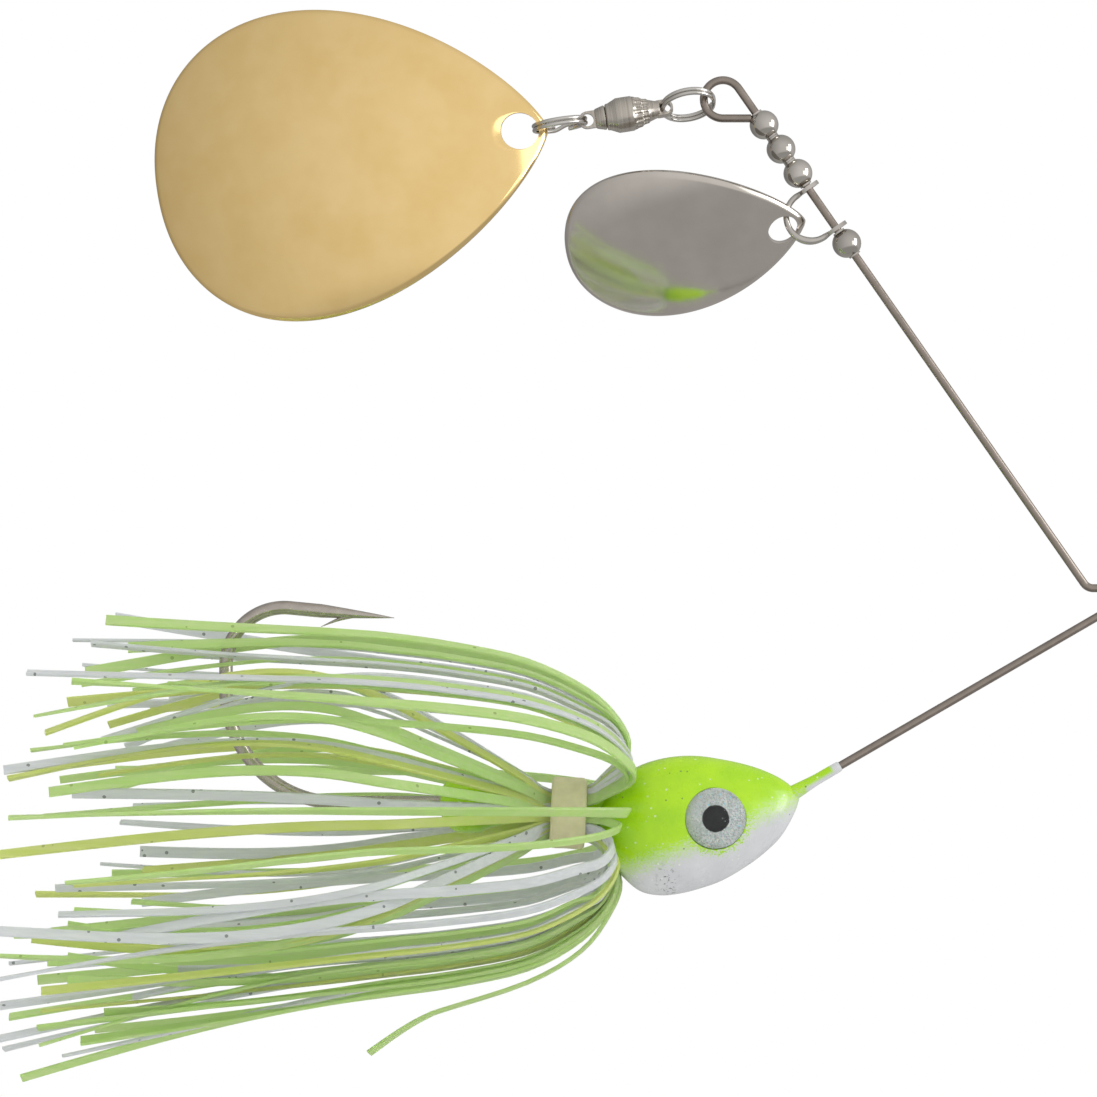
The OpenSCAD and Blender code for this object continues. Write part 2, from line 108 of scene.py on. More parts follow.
def leaned(degrees):
    return Vector((math.sin(math.radians(degrees)), 0, -math.cos(math.radians(degrees))))


LOWER_DIR, UPPER_DIR = leaned(LOWER_LEAN), leaned(-UPPER_LEAN)
TIE_MIDDLE = Vector((0, 0, WIRE_R - TIE_R))
LOWER_START = TIE_MIDDLE + TIE_R * Vector(
    (math.cos(math.radians(LOWER_LEAN)), 0, math.sin(math.radians(LOWER_LEAN)))
)
NOSE_ENTRY = LOWER_START + LOWER_ARM * LOWER_DIR
TIE_CORNER = TIE_MIDDLE + Vector((-TIE_R, 0, -TIE_FLAT))
LOOP_START = TIE_CORNER + UPPER_ARM * UPPER_DIR
LOOP_MIDDLE = LOOP_START + LOOP_R * Vector((-UPPER_DIR.z, 0, UPPER_DIR.x))

NOSE = HUNG @ moved(NOSE_ENTRY.x + 1.5, 0, NOSE_ENTRY.z)


def on_arm(up):
    """Local +Z runs up the upper arm from its end loop, and local +X towards the skirt."""
    return HUNG @ moved(*LOOP_START) @ turn_y(UPPER_LEAN) @ moved(0, 0, up)


CHAIN_LEAN = 8.8


def on_chain(down):
    """Local -Z runs down the swivel chain from the middle of the end loop."""
    return HUNG @ moved(*LOOP_MIDDLE) @ turn_y(-CHAIN_LEAN) @ moved(0, 0, -down)


# ---------------------------------------------------------------- mesh makers

def arc(middle, radius, start, end, steps):
    """Points of an arc in the XZ plane, angles in degrees from +X towards +Z."""
    points = []
    for i in range(steps + 1):
        a = math.radians(start + (end - start) * i / steps)
        points.append(Vector((middle[0] + radius * math.cos(a), 0, middle[2] + radius * math.sin(a))))
    return points


def line(start, end, steps):
    return [Vector(start).lerp(Vector(end), i / steps) for i in range(steps + 1)]


def joined(*runs):
    """One path from runs of points, dropping a run's first point where it repeats the last."""
    path = []
    for run in runs:
        for p in run:
            if not path or (p - path[-1]).length > 1e-4:
                path.append(p)
    return path


def smooth_path(points, steps):
    """A smooth curve through points, with a number of steps between each pair."""
    pts = [Vector(p) for p in points]
    pts = [2 * pts[0] - pts[1]] + pts + [2 * pts[-1] - pts[-2]]
    path = []
    for i in range(1, len(pts) - 2):
        a, b, c, d = pts[i - 1:i + 3]
        for k in range(steps):
            t = k / steps
            path.append(
                0.5 * (2 * b + (c - a) * t + (2 * a - 5 * b + 4 * c - d) * t * t
                       + (3 * b - a - 3 * c + d) * t ** 3)
            )
    path.append(pts[-2])
    return path


def bridge(bm, rings, closed=False):
    """Faces between each ring of points and the next, and back to the first if closed."""
    n = len(rings[0])
    for a, b in zip(rings, rings[1:] + (rings[:1] if closed else [])):
        for j in range(n):
            bm.faces.new((a[j], a[(j + 1) % n], b[(j + 1) % n], b[j]))


def cap_ends(bm, rings):
    bm.faces.new(rings[0][::-1])
    bm.faces.new(rings[-1])


def sweep(bm, path, section, first_side=(0, 1, 0)):
    """Sweeps section(k) (points as side, up in mm) along the path and closes its ends."""
    side = Vector(first_side)
    rings = []
    last = len(path) - 1
    for k, p in enumerate(path):
        run = (path[min(k + 1, last)] - path[max(k - 1, 0)]).normalized()
        side = (side - run * side.dot(run)).normalized()
        up = run.cross(side)
        rings.append([bm.verts.new(p + side * s + up * u) for s, u in section(k)])
    bridge(bm, rings)
    cap_ends(bm, rings)


def oval(wide, deep, sides):
    """Points of an oval with two half widths."""
    return [
        (wide * math.cos(2 * math.pi * j / sides), deep * math.sin(2 * math.pi * j / sides))
        for j in range(sides)
    ]


def round_section(radius, sides=16):
    """A round section for sweep; radius is a number or a function of the step."""
    def section(k):
        r = radius(k) if callable(radius) else radius
        return oval(r, r, sides)
    return section


def lathe(bm, profile, sides=64, radius_at=None):
    """Turns a closed profile of (radius, height) points about Z."""
    rings = []
    for i, (r, z) in enumerate(profile):
        ring = []
        for j in range(sides):
            a = 2 * math.pi * j / sides
            rr = radius_at(i, j, r) if radius_at else r
            ring.append(bm.verts.new((rr * math.cos(a), rr * math.sin(a), z)))
        rings.append(ring)
    bridge(bm, rings, closed=True)


def shrunk(outline, inset):
    """A closed outline of (x, z) points, each moved inwards by the inset."""
    pairs = list(zip(outline[-1:] + outline[:-1], outline[1:] + outline[:1]))
    area = sum(ax * bz - bx * az for (ax, az), (bx, bz) in zip(outline, outline[1:] + outline[:1]))
    inset = math.copysign(inset, area)
    points = []
    for (x, z), ((ax, az), (bx, bz)) in zip(outline, pairs):
        run = math.hypot(bx - ax, bz - az)
        points.append((x - inset * (bz - az) / run, z + inset * (bx - ax) / run))
    return points


def holed_sheet(bm, outline, hole_r, thick, surface, rings=10, rim=0.0, fall=0.0):
    """A sheet with a round hole at the origin. outline is points (x, z) round the hole, and
    surface(x, z) gives the height y of its front face; the back lies thick behind it. A rim of
    the front face falls away towards the edge."""
    n = len(outline)
    inner = shrunk(outline, rim) if rim else outline
    rows = []
    for share in [0.0, 0.04] + [0.04 + 0.96 * (i / rings) ** 0.9 for i in range(1, rings + 1)]:
        row = []
        for x, z in inner:
            bore = hole_r / math.hypot(x, z)
            part = bore + (1 - bore) * share
            row.append((x * part, z * part, 0.0))
        rows.append(row)
    for t in (0.25, 0.5, 0.75, 1.0) if rim else ():
        rows.append([(x, z, fall * t * t) for x, z in shrunk(outline, rim * (1 - t))])
    front = [[bm.verts.new((x, surface(x, z) + down, z)) for x, z, down in row] for row in rows]
    back = [[bm.verts.new((x, surface(x, z) + thick, z)) for x, z, down in row] for row in rows]
    for a, b in zip(front, front[1:]):
        for j in range(n):
            bm.faces.new((a[j], b[j], b[(j + 1) % n], a[(j + 1) % n]))
    bridge(bm, back)
    for ring_f, ring_b, way in ((front[0], back[0], 1), (front[-1], back[-1], -1)):
        for j in range(n):
            quad = [ring_f[j], ring_f[(j + 1) % n], ring_b[(j + 1) % n], ring_b[j]]
            bm.faces.new(quad[::way])


def add_part(bm, other, place):
    """Moves one bmesh and adds it to another."""
    bmesh.ops.transform(other, matrix=place, verts=other.verts)
    scrap = bpy.data.meshes.new("part")
    other.to_mesh(scrap)
    other.free()
    bm.from_mesh(scrap)
    bpy.data.meshes.remove(scrap)


def to_object(name, bm):
    mesh = bpy.data.meshes.new(name)
    bm.to_mesh(mesh)
    bm.free()
    thing = bpy.data.objects.new(name, mesh)
    bpy.context.scene.collection.objects.link(thing)
    return thing


def apply_modifiers(piece):
    graph = bpy.context.evaluated_depsgraph_get()
    graph.update()
    mesh = bpy.data.meshes.new_from_object(piece.evaluated_get(graph))
    piece.modifiers.clear()
    piece.data = mesh


def shade(piece, angle):
    """Smooth shading, with edges sharper than an angle left sharp."""
    for face in piece.data.polygons:
        face.use_smooth = True
    piece.data.set_sharp_from_angle(angle=math.radians(angle))


def finish_mesh(name, bm, place, bevel=0.0, levels=0, angle=35.0):
    """Turns a bmesh in mm into an object in the row frame, with its modifiers applied."""
    bmesh.ops.recalc_face_normals(bm, faces=bm.faces)
    bmesh.ops.transform(bm, matrix=place, verts=bm.verts)
    piece = to_object(name, bm)
    if bevel:
        soft = piece.modifiers.new("bevel", "BEVEL")
        soft.width = bevel * MM
        soft.segments = 2
        soft.limit_method = "ANGLE"
        soft.angle_limit = math.radians(angle)
    if levels:
        fine = piece.modifiers.new("smooth", "SUBSURF")
        fine.levels = fine.render_levels = levels
    if bevel or levels:
        apply_modifiers(piece)
    shade(piece, angle)
    return piece


def fit(piece, body, node, material):
    """The piece takes the place of one CAD node."""
    piece.data.materials.clear()
    piece.data.materials.append(material)
    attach(piece, body)
    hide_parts(node)
    return piece


# ---------------------------------------------------------------- node tools

def put(tree, kind, inputs=None, **settings):
    """Adds a node, sets its settings, and fills its inputs from values or sockets."""
    node = tree.nodes.new(kind)
    for key, value in settings.items():
        setattr(node, key, value)
    for key, value in (inputs or {}).items():
        socket = node.inputs[key]
        if isinstance(value, bpy.types.NodeSocket):
            tree.links.new(value, socket)
        else:
            socket.default_value = value
    return node


def rgba(r, g, b, a=1.0):
    return (r, g, b, a)


def ramp(tree, factor, stops):
    """A colour ramp of (place, colour) stops."""
    node = put(tree, "ShaderNodeValToRGB", {"Fac": factor})
    marks = node.color_ramp.elements
    while len(marks) < len(stops):
        marks.new(0.5)
    for mark, (place, colour) in zip(marks, stops):
        mark.position = place
        mark.color = colour if len(colour) == 4 else (*colour, 1.0)
    return node.outputs["Color"]


def mix(tree, factor, a, b, blend="MIX"):
    node = put(tree, "ShaderNodeMix", data_type="RGBA", blend_type=blend)
    for socket, value in ((node.inputs[0], factor), (node.inputs[6], a), (node.inputs[7], b)):
        if isinstance(value, bpy.types.NodeSocket):
            tree.links.new(value, socket)
        else:
            socket.default_value = value
    return node.outputs[2]


def spread(tree, value, low, high, to_low=0.0, to_high=1.0):
    return put(tree, "ShaderNodeMapRange", {
        "Value": value, "From Min": low, "From Max": high, "To Min": to_low, "To Max": to_high,
    }).outputs["Result"]


def math_node(tree, operation, a, b=0.0):
    return put(tree, "ShaderNodeMath", {0: a, 1: b}, operation=operation).outputs[0]


def here(tree):
    return put(tree, "ShaderNodeTexCoord").outputs["Object"]


def noise(tree, at, scale, detail=4.0, rough=0.55):
    return put(tree, "ShaderNodeTexNoise", {
        "Vector": at, "Scale": scale, "Detail": detail, "Roughness": rough,
    }).outputs["Fac"]


def vector(tree, operation, a, b=None):
    """A Vector Math node's result: a number for a dot product or a length."""
    inputs = {0: a} if b is None else {0: a, 1: b}
    outputs = put(tree, "ShaderNodeVectorMath", inputs, operation=operation).outputs
    return outputs["Value" if operation in ("DOT_PRODUCT", "LENGTH") else "Vector"]


def scaled(tree, a, by):
    inputs = {0: a, "Scale": by}
    return put(tree, "ShaderNodeVectorMath", inputs, operation="SCALE").outputs["Vector"]


def times(tree, a, b):
    return math_node(tree, "MULTIPLY", a, b)


def plug(tree, shader, **sockets):
    """Links each value to the shader's socket of that name."""
    for name, value in sockets.items():
        tree.links.new(value, shader.inputs[name.replace("_", " ")])


def effect(name, inputs, outputs):
    """A node group with named inputs (name, kind, value) and outputs (name, kind)."""
    group = bpy.data.node_groups.new(name, "ShaderNodeTree")
    for label, kind, value in inputs:
        socket = group.interface.new_socket(label, in_out="INPUT", socket_type=kind)
        if value is not None:
            socket.default_value = value
    for label, kind in outputs:
        group.interface.new_socket(label, in_out="OUTPUT", socket_type=kind)
    return group, group.nodes.new("NodeGroupInput"), group.nodes.new("NodeGroupOutput")


FLOAT, VECTOR = "NodeSocketFloat", "NodeSocketVector"


def make_fine_marks():
    """Hairline scratches and faint smudges for bright metal: a roughness mask and a height."""
    group, given, out = effect(
        "fine_marks",
        [("Scale", FLOAT, 900.0), ("Scratches", FLOAT, 0.5), ("Smudges", FLOAT, 0.5)],
        [("Mask", FLOAT), ("Height", FLOAT)],
    )
    at = here(group)
    warp = vector(group, "MULTIPLY", at, given.outputs["Scale"])
    lines = []
    for turn in ((0.3, 0.1, 0.9), (1.1, 0.7, 0.2), (0.2, 1.3, 2.1)):
        mapping = put(group, "ShaderNodeMapping", {
            "Vector": warp, "Rotation": turn, "Scale": (1.0, 0.03, 1.0),
        })
        field = noise(group, mapping.outputs["Vector"], 1.0, 2.0)
        lines.append(spread(group, field, 0.66, 0.72))
    both = math_node(group, "MAXIMUM", math_node(group, "MAXIMUM", lines[0], lines[1]), lines[2])
    scratches = math_node(group, "MULTIPLY", both, given.outputs["Scratches"])
    smudge = spread(group, noise(group, at, 160.0, 5.0), 0.45, 0.7)
    smudges = math_node(group, "MULTIPLY", smudge, given.outputs["Smudges"])
    group.links.new(math_node(group, "ADD", scratches, smudges), out.inputs["Mask"])
    group.links.new(math_node(group, "MULTIPLY", scratches, -1.0), out.inputs["Height"])
    return group


def make_drawn_grain():
    """Fine grain drawn out along Way, for wire and turned steel."""
    group, given, out = effect(
        "drawn_grain",
        [("Way", VECTOR, (0, 0, 1)), ("Fine", FLOAT, 9000.0), ("Long", FLOAT, 250.0)],
        [("Grain", FLOAT)],
    )
    at = here(group)
    way = given.outputs["Way"]
    along = vector(group, "DOT_PRODUCT", at, way)
    length = scaled(group, way, along)
    across = vector(group, "SUBTRACT", at, length)
    fine, long = scaled(group, across, given.outputs["Fine"]), scaled(group, length, given.outputs["Long"])
    grain = noise(group, vector(group, "ADD", fine, long), 1.0, 3.0)
    group.links.new(grain, out.inputs["Grain"])
    return group


def make_flecks():
    """Small scattered flakes: a mask and a random value for each flake."""
    group, given, out = effect(
        "flecks",
        [("Scale", FLOAT, 1500.0), ("Size", FLOAT, 0.3), ("Share", FLOAT, 0.2)],
        [("Mask", FLOAT), ("Shade", FLOAT)],
    )
    at = here(group)
    cells = put(group, "ShaderNodeTexVoronoi", {"Vector": at, "Scale": given.outputs["Scale"]})
    apart = put(group, "ShaderNodeSeparateColor", {"Color": cells.outputs["Color"]})
    near = math_node(group, "LESS_THAN", cells.outputs["Distance"], given.outputs["Size"])
    chosen = math_node(group, "LESS_THAN", apart.outputs["Red"], given.outputs["Share"])
    group.links.new(math_node(group, "MULTIPLY", near, chosen), out.inputs["Mask"])
    group.links.new(apart.outputs["Green"], out.inputs["Shade"])
    return group


fine_marks = make_fine_marks()
drawn_grain = make_drawn_grain()
flecks = make_flecks()


def use(tree, group, **values):
    node = put(tree, "ShaderNodeGroup", node_tree=group)
    for key, value in values.items():
        node.inputs[key].default_value = value
    return node


def new_material(name, **sockets):
    """A material with a Principled BSDF, whose constant values sit on its own sockets."""
    material = bpy.data.materials.new(name)
    material.use_nodes = True
    tree = material.node_tree
    tree.nodes.clear()
    shader = put(tree, "ShaderNodeBsdfPrincipled")
    for key, value in sockets.items():
        shader.inputs[key.replace("_", " ")].default_value = value
    put(tree, "ShaderNodeOutputMaterial", {"Surface": shader.outputs[0]})
    return material, tree, shader


def bump(tree, shader, height, strength, distance):
    node = put(tree, "ShaderNodeBump", {"Height": height, "Strength": strength, "Distance": distance})
    tree.links.new(node.outputs["Normal"], shader.inputs["Normal"])


# ---------------------------------------------------------------- finishes

def bright_metal(name, dark, light, rough, scratches=0.3, smudges=0.3, scale=900.0):
    """Polished or plated metal with faint hairlines and smudges."""
    material, tree, shader = new_material(name, Metallic=1.0)
    marks = use(tree, fine_marks, Scale=scale, Scratches=scratches, Smudges=smudges)
    cloud = noise(tree, here(tree), 220.0, 3.0)
    plug(tree, shader, Base_Color=ramp(tree, cloud, [(0.3, dark), (0.7, light)]))
    plug(tree, shader, Roughness=spread(tree, marks.outputs["Mask"], 0.0, 1.0, rough, rough + 0.18))
    bump(tree, shader, marks.outputs["Height"], 0.25, 0.00002)
    return material


def drawn_metal(name, dark, light, way, rough, long, fine):
    """Drawn or turned steel: grain of one fineness along its way and another across it."""
    material, tree, shader = new_material(name, Metallic=1.0)
    streaks = use(tree, drawn_grain, Way=tuple(Vector(way).normalized()), Long=long, Fine=fine)
    grain = streaks.outputs["Grain"]
    plug(tree, shader, Base_Color=ramp(tree, grain, [(0.3, dark), (0.7, light)]),
         Roughness=spread(tree, grain, 0.3, 0.7, rough - 0.08, rough + 0.12))
    bump(tree, shader, grain, 0.05, 0.00001)
    return material


EYE_DROP, EYE_BACK, EYE_SEAT, EYE_R = 1.36, 9.5, 3.9, 3.3
CHAIN_WAY = turn_y(HANG_LEAN - CHAIN_LEAN).to_3x3() @ Vector((0, 0, 1))
SHANK_WAY = (0, 0, 1)
wire_finish = drawn_metal(
    "drawn_wire", (0.31, 0.27, 0.235), (0.37, 0.32, 0.285), SHANK_WAY, 0.24, 900.0, 900.0)
hook_finish = drawn_metal(
    "hook_steel", (0.48, 0.44, 0.40), (0.58, 0.54, 0.49), SHANK_WAY, 0.20, 900.0, 1400.0)
swivel_finish = drawn_metal(
    "turned_steel", (0.40, 0.37, 0.33), (0.68, 0.64, 0.58), CHAIN_WAY, 0.20, 9000.0, 150.0)
nickel_finish = bright_metal("polished_nickel", (0.50, 0.475, 0.44), (0.66, 0.63, 0.59), 0.06)
ring_finish = bright_metal(
    "ring_steel", (0.58, 0.56, 0.53), (0.72, 0.70, 0.67), 0.10, 0.5, 0.2, 2500.0)
silver_finish = bright_metal(
    "nickel_plate", (0.60, 0.565, 0.52), (0.66, 0.62, 0.575), 0.12, 0.15, 0.25, 500.0)
gold_finish = bright_metal(
    "gold_plate", (0.92, 0.66, 0.28), (0.97, 0.72, 0.34), 0.10, 0.15, 0.4, 400.0)


def far_from(tree, at, place, stretch=(1, 0, 1)):
    """Offset from a place in the nose's frame, and its length in the plane of the arms."""
    point = NOSE @ Vector(place)
    off = vector(tree, "SUBTRACT", at, (point.x, 0, point.z))
    return off, vector(tree, "LENGTH", vector(tree, "MULTIPLY", off, stretch))


def make_head_paint():
    """Powder paint: chartreuse back airbrushed into a white belly, with fine sparkle and scuffs."""
    material, tree, shader = new_material("head_paint", Coat_Weight=0.4, Coat_Roughness=0.08)
    at = here(tree)
    belly_way = lean @ Vector((0.93, 0, 0.37))
    level = vector(tree, "DOT_PRODUCT", at, belly_way)
    spray = noise(tree, at, 5200.0, 2.0)
    mist = times(tree, math_node(tree, "SUBTRACT", spray, 0.5), 0.004)
    belly = spread(tree, math_node(tree, "ADD", level, mist), 0.0064, 0.0088)
    chartreuse = ramp(tree, noise(tree, at, 300.0), [(0.3, (0.36, 0.70, 0.0)), (0.7, (0.46, 0.80, 0.0))])
    white = ramp(tree, noise(tree, at, 260.0), [(0.3, (0.60, 0.62, 0.65)), (0.7, (0.70, 0.72, 0.74))])
    reach = far_from(tree, at, (EYE_DROP, 0, -EYE_BACK))[1]
    halo = spread(tree, math_node(tree, "ADD", reach, mist), 0.0033, 0.0040)
    belly = times(tree, belly, halo)
    from_nose = vector(tree, "SUBTRACT", at, HUNG @ NOSE_ENTRY)
    ahead = vector(tree, "DOT_PRODUCT", from_nose, lean @ -LOWER_DIR)
    across = vector(tree, "DOT_PRODUCT", from_nose, lean @ Vector((-LOWER_DIR.z, 0, LOWER_DIR.x)))
    under = spread(tree, across, -0.0001, 0.0003)
    bare_end = spread(tree, ahead, 0.0039, 0.0043)
    on_sleeve = spread(tree, ahead, 0.0002, 0.0008)
    sleeve = times(tree, math_node(tree, "MAXIMUM", under, bare_end), on_sleeve)
    paint = mix(tree, math_node(tree, "MAXIMUM", belly, sleeve), chartreuse, white)
    sparkle = use(tree, flecks, Scale=2300.0, Size=0.28, Share=0.05).outputs["Mask"]
    grit = use(tree, flecks, Scale=1100.0, Size=0.12, Share=0.16).outputs["Mask"]
    paint = mix(tree, times(tree, grit, 0.75), paint, rgba(0.12, 0.14, 0.08))
    paint = mix(tree, times(tree, sparkle, 0.5), paint, rgba(0.9, 0.95, 0.85))
    near = far_from(tree, at, (8.6, 0, -14.6), (1, 0, 1.8))[1]
    patch = spread(tree, near, 0.0010, 0.0030, 1.0, 0.0)
    chips = spread(tree, noise(tree, at, 2200.0, 6.0, 0.7), 0.56, 0.60)
    paint = mix(tree, times(tree, patch, chips), paint, rgba(0.06, 0.06, 0.06))
    plug(tree, shader, Base_Color=paint,
         Roughness=spread(tree, noise(tree, at, 900.0), 0.3, 0.7, 0.22, 0.38))
    bump(tree, shader, noise(tree, at, 1400.0, 2.0), 0.12, 0.00004)
    return material


head_finish = make_head_paint()


def make_foil():
    """Holographic foil under the eye's dome: silver glitter with a black pupil, and a painted sheen that makes
    it paler towards one side.
    """
    material, tree, shader = new_material("eye_foil", Specular_IOR_Level=0.1)
    at = here(tree)
    away, far = far_from(tree, at, (EYE_DROP, 0, -EYE_BACK))
    cells = put(tree, "ShaderNodeTexVoronoi", {"Vector": at, "Scale": 7000.0})
    parts = put(tree, "ShaderNodeSeparateColor", {"Color": cells.outputs["Color"]})
    shade = ramp(tree, parts.outputs["Red"], [
        (0.0, (0.55, 0.59, 0.60)), (0.45, (0.78, 0.82, 0.82)), (0.8, (0.92, 0.95, 0.95)),
        (1.0, (1.0, 1.0, 0.98)),
    ])
    hue = ramp(tree, parts.outputs["Green"], [
        (0.0, (0.65, 0.92, 0.85)), (0.5, (1.0, 1.0, 1.0)), (0.85, (0.93, 0.85, 0.97)),
        (1.0, (1.0, 0.98, 0.75)),
    ])
    silver = mix(tree, 0.6, shade, hue, "MULTIPLY")
    dull = spread(tree, noise(tree, at, 700.0, 3.0), 0.42, 0.62)
    silver = mix(tree, times(tree, dull, 0.35), silver, rgba(0.45, 0.50, 0.46))
    # Painted sheen: the foil is mixed paler towards one side, where light falling across it would brighten it
    pale = vector(tree, "DOT_PRODUCT", away, lean @ Vector((-0.3, 0, -1)))
    silver = mix(tree, spread(tree, pale, 0.0012, 0.0030, 0.0, 0.6), silver, rgba(0.86, 0.88, 0.90))
    glints = use(tree, flecks, Scale=1900.0, Size=0.22, Share=0.32)
    spark = ramp(tree, glints.outputs["Shade"], [
        (0.0, (0.45, 0.85, 1.0)), (0.35, (1.0, 1.0, 1.0)), (0.7, (0.55, 0.95, 0.9)),
        (0.9, (1.0, 0.62, 0.45)),
    ])
    silver = mix(tree, glints.outputs["Mask"], silver, spark)
    wobble = times(tree, noise(tree, at, 2600.0, 2.0), 0.00022)
    pupil = spread(tree, math_node(tree, "ADD", far, wobble), 0.00150, 0.00158, 1.0, 0.0)
    glitter = use(tree, flecks, Scale=2600.0, Size=0.18, Share=0.30)
    black = mix(tree, glitter.outputs["Mask"], rgba(0.012, 0.013, 0.015), rgba(0.35, 0.38, 0.40))
    plug(tree, shader, Base_Color=mix(tree, pupil, silver, black),
         Metallic=spread(tree, pupil, 0.0, 1.0, 0.25, 0.0),
         Roughness=spread(tree, parts.outputs["Blue"], 0.0, 1.0, 0.25, 0.6))
    bump(tree, shader, parts.outputs["Blue"], 0.5, 0.00008)
    return material


foil_finish = make_foil()


def make_dome():
    """Clear cast dome with a few specks in it."""
    material, tree, shader = new_material("clear_dome", Roughness=0.02, IOR=1.3, Transmission_Weight=1.0)
    specks = use(tree, flecks, Scale=2600.0, Size=0.22, Share=0.06)
    tint = mix(tree, specks.outputs["Mask"], rgba(0.97, 0.985, 0.98), rgba(0.75, 0.85, 0.85))
    plug(tree, shader, Base_Color=tint)
    bump(tree, shader, noise(tree, here(tree), 500.0, 2.0), 0.05, 0.00005)
    return material


dome_finish = make_dome()


def make_rubber():
    """Matt latex of the collar, with fine pores and a cloudy tone."""
    material, tree, shader = new_material(
        "collar_latex", Subsurface_Weight=0.15, Subsurface_Radius=(0.002, 0.0015, 0.0008)
    )
    at = here(tree)
    cloud = noise(tree, at, 500.0, 5.0)
    tone = ramp(tree, cloud, [(0.3, (0.58, 0.56, 0.32)), (0.7, (0.72, 0.69, 0.43))])
    plug(tree, shader, Base_Color=tone, Roughness=spread(tree, cloud, 0.3, 0.7, 0.5, 0.7))
    bump(tree, shader, noise(tree, at, 5000.0, 3.0), 0.3, 0.00003)
    return material


collar_finish = make_rubber()


def silicone(name, deep, pale, flake, share, clear):
    """Skirt silicone: streaky colour along the strand with flakes set in it."""
    material, tree, shader = new_material(
        name, Transmission_Weight=clear, IOR=1.41, Subsurface_Weight=0.1,
        Subsurface_Radius=(0.001, 0.001, 0.0005),
    )
    streaks = use(tree, drawn_grain, Way=tuple(lean @ Vector(SHANK_WAY)), Fine=2500.0, Long=160.0)
    grain = streaks.outputs["Grain"]
    tone = ramp(tree, grain, [(0.3, deep), (0.7, pale)])
    specks = use(tree, flecks, Scale=1500.0, Size=0.30, Share=share).outputs["Mask"]
    tone = mix(tree, times(tree, specks, 0.8), tone, flake)
    plug(tree, shader, Base_Color=tone, Roughness=spread(tree, grain, 0.3, 0.7, 0.28, 0.45))
    bump(tree, shader, grain, 0.25, 0.00005)
    return material


green_finish = silicone(
    "green_silicone", (0.66, 0.93, 0.32), (0.80, 0.98, 0.50), rgba(0.36, 0.50, 0.12), 0.02, 0.55)
pearl_finish = silicone(
    "pearl_silicone", (0.76, 0.80, 0.82), (0.88, 0.91, 0.93), rgba(0.14, 0.16, 0.15), 0.07, 0.35)
lime_finish = silicone(
    "lime_silicone", (0.80, 0.93, 0.24), (0.90, 0.97, 0.42), rgba(0.45, 0.52, 0.16), 0.02, 0.6)


# ---------------------------------------------------------------- wire form

def build_wire():
    bm = bmesh.new()
    trim = TIE_R * math.tan(math.radians(UPPER_LEAN / 2))
    corner_middle = TIE_CORNER + Vector((-TIE_R, 0, trim))
    loop_end = LOOP_MIDDLE + Vector((LOOP_R, 0, 0))
    tail_top = loop_end + Vector((0, 0, LOOP_TAIL))
    path = joined(
        line(NOSE_ENTRY + WIRE_IN_HEAD * LOWER_DIR, LOWER_START, 60),
        arc(TIE_MIDDLE, TIE_R, LOWER_LEAN, 180, 24),
        line(TIE_MIDDLE + Vector((-TIE_R, 0, 0)), TIE_CORNER + Vector((0, 0, trim)), 3),
        arc(corner_middle, TIE_R, 0, -UPPER_LEAN, 12),
        line(TIE_CORNER + trim * UPPER_DIR, LOOP_START, 60),
        arc(LOOP_MIDDLE, LOOP_R, 180 - UPPER_LEAN, 360, 40),
        line(loop_end, tail_top, 6),
    )
    sweep(bm, path, round_section(WIRE_R, 20))
    piece = finish_mesh("bent_wire", bm, HUNG, bevel=0.06)
    return fit(piece, "frame", "wire_form", wire_finish)


# ---------------------------------------------------------------- head

# Share of the head's length from the nose, with its height above and depth below the shank
HEAD_L = 22.33
HEAD_FLAT = 0.7
HEAD_STATIONS = [
    (0.0, 0.66, -0.66), (0.03, 1.55, 1.25), (0.098, 2.7, 3.8), (0.196, 3.7, 5.87), (0.295, 4.36, 7.41),
    (0.393, 4.8, 8.62), (0.492, 5.12, 9.4), (0.59, 5.13, 9.95), (0.689, 4.8, 10.16), (0.787, 4.1, 9.7),
    (0.87, 3.0, 8.2), (0.94, 1.5, 6.3), (0.985, -0.3, 4.4), (1.0, -2.4, 2.4),
]


# Keeper behind the head: its stem, then a barb that swells and ends round
KEEPER_END = 39.5
STEM_R, BARB_R = 1.05, 3.3
BARB_START, BARB_FULL, BARB_ROUND = 28.5, 35.1, 37.0
SLEEVE_STEPS = 30


def head_rings(steps=6, sides=96):
    rings = []
    for share, up, down in smooth_path(HEAD_STATIONS, steps)[1:-1]:
        mid, half = (up - down) / 2, max((up + down) / 2, 0.05)
        rings.append([
            (
                -mid - half * math.cos(2 * math.pi * j / sides),
                HEAD_FLAT * half * math.sin(2 * math.pi * j / sides),
                -share * HEAD_L,
            )
            for j in range(sides)
        ])
    return rings


def cut_sockets(piece):
    """Cuts a round flat-bottomed socket into each side of the head for the eyes."""
    socket_r, depth = EYE_R + 0.08, 6
    for near in (-1, 1):
        bm = bmesh.new()
        bmesh.ops.create_cone(
            bm, cap_ends=True, segments=96, radius1=socket_r, radius2=socket_r, depth=depth)
        place = NOSE @ moved(EYE_DROP, near * (EYE_SEAT + depth / 2), -EYE_BACK) @ turn_x(90)
        bmesh.ops.transform(bm, matrix=place, verts=bm.verts)
        cutter = to_object("socket_cutter", bm)
        hole = piece.modifiers.new("socket", "BOOLEAN")
        hole.operation = "DIFFERENCE"
        hole.solver = "EXACT"
        hole.object = cutter
        apply_modifiers(piece)
        bpy.data.objects.remove(cutter)


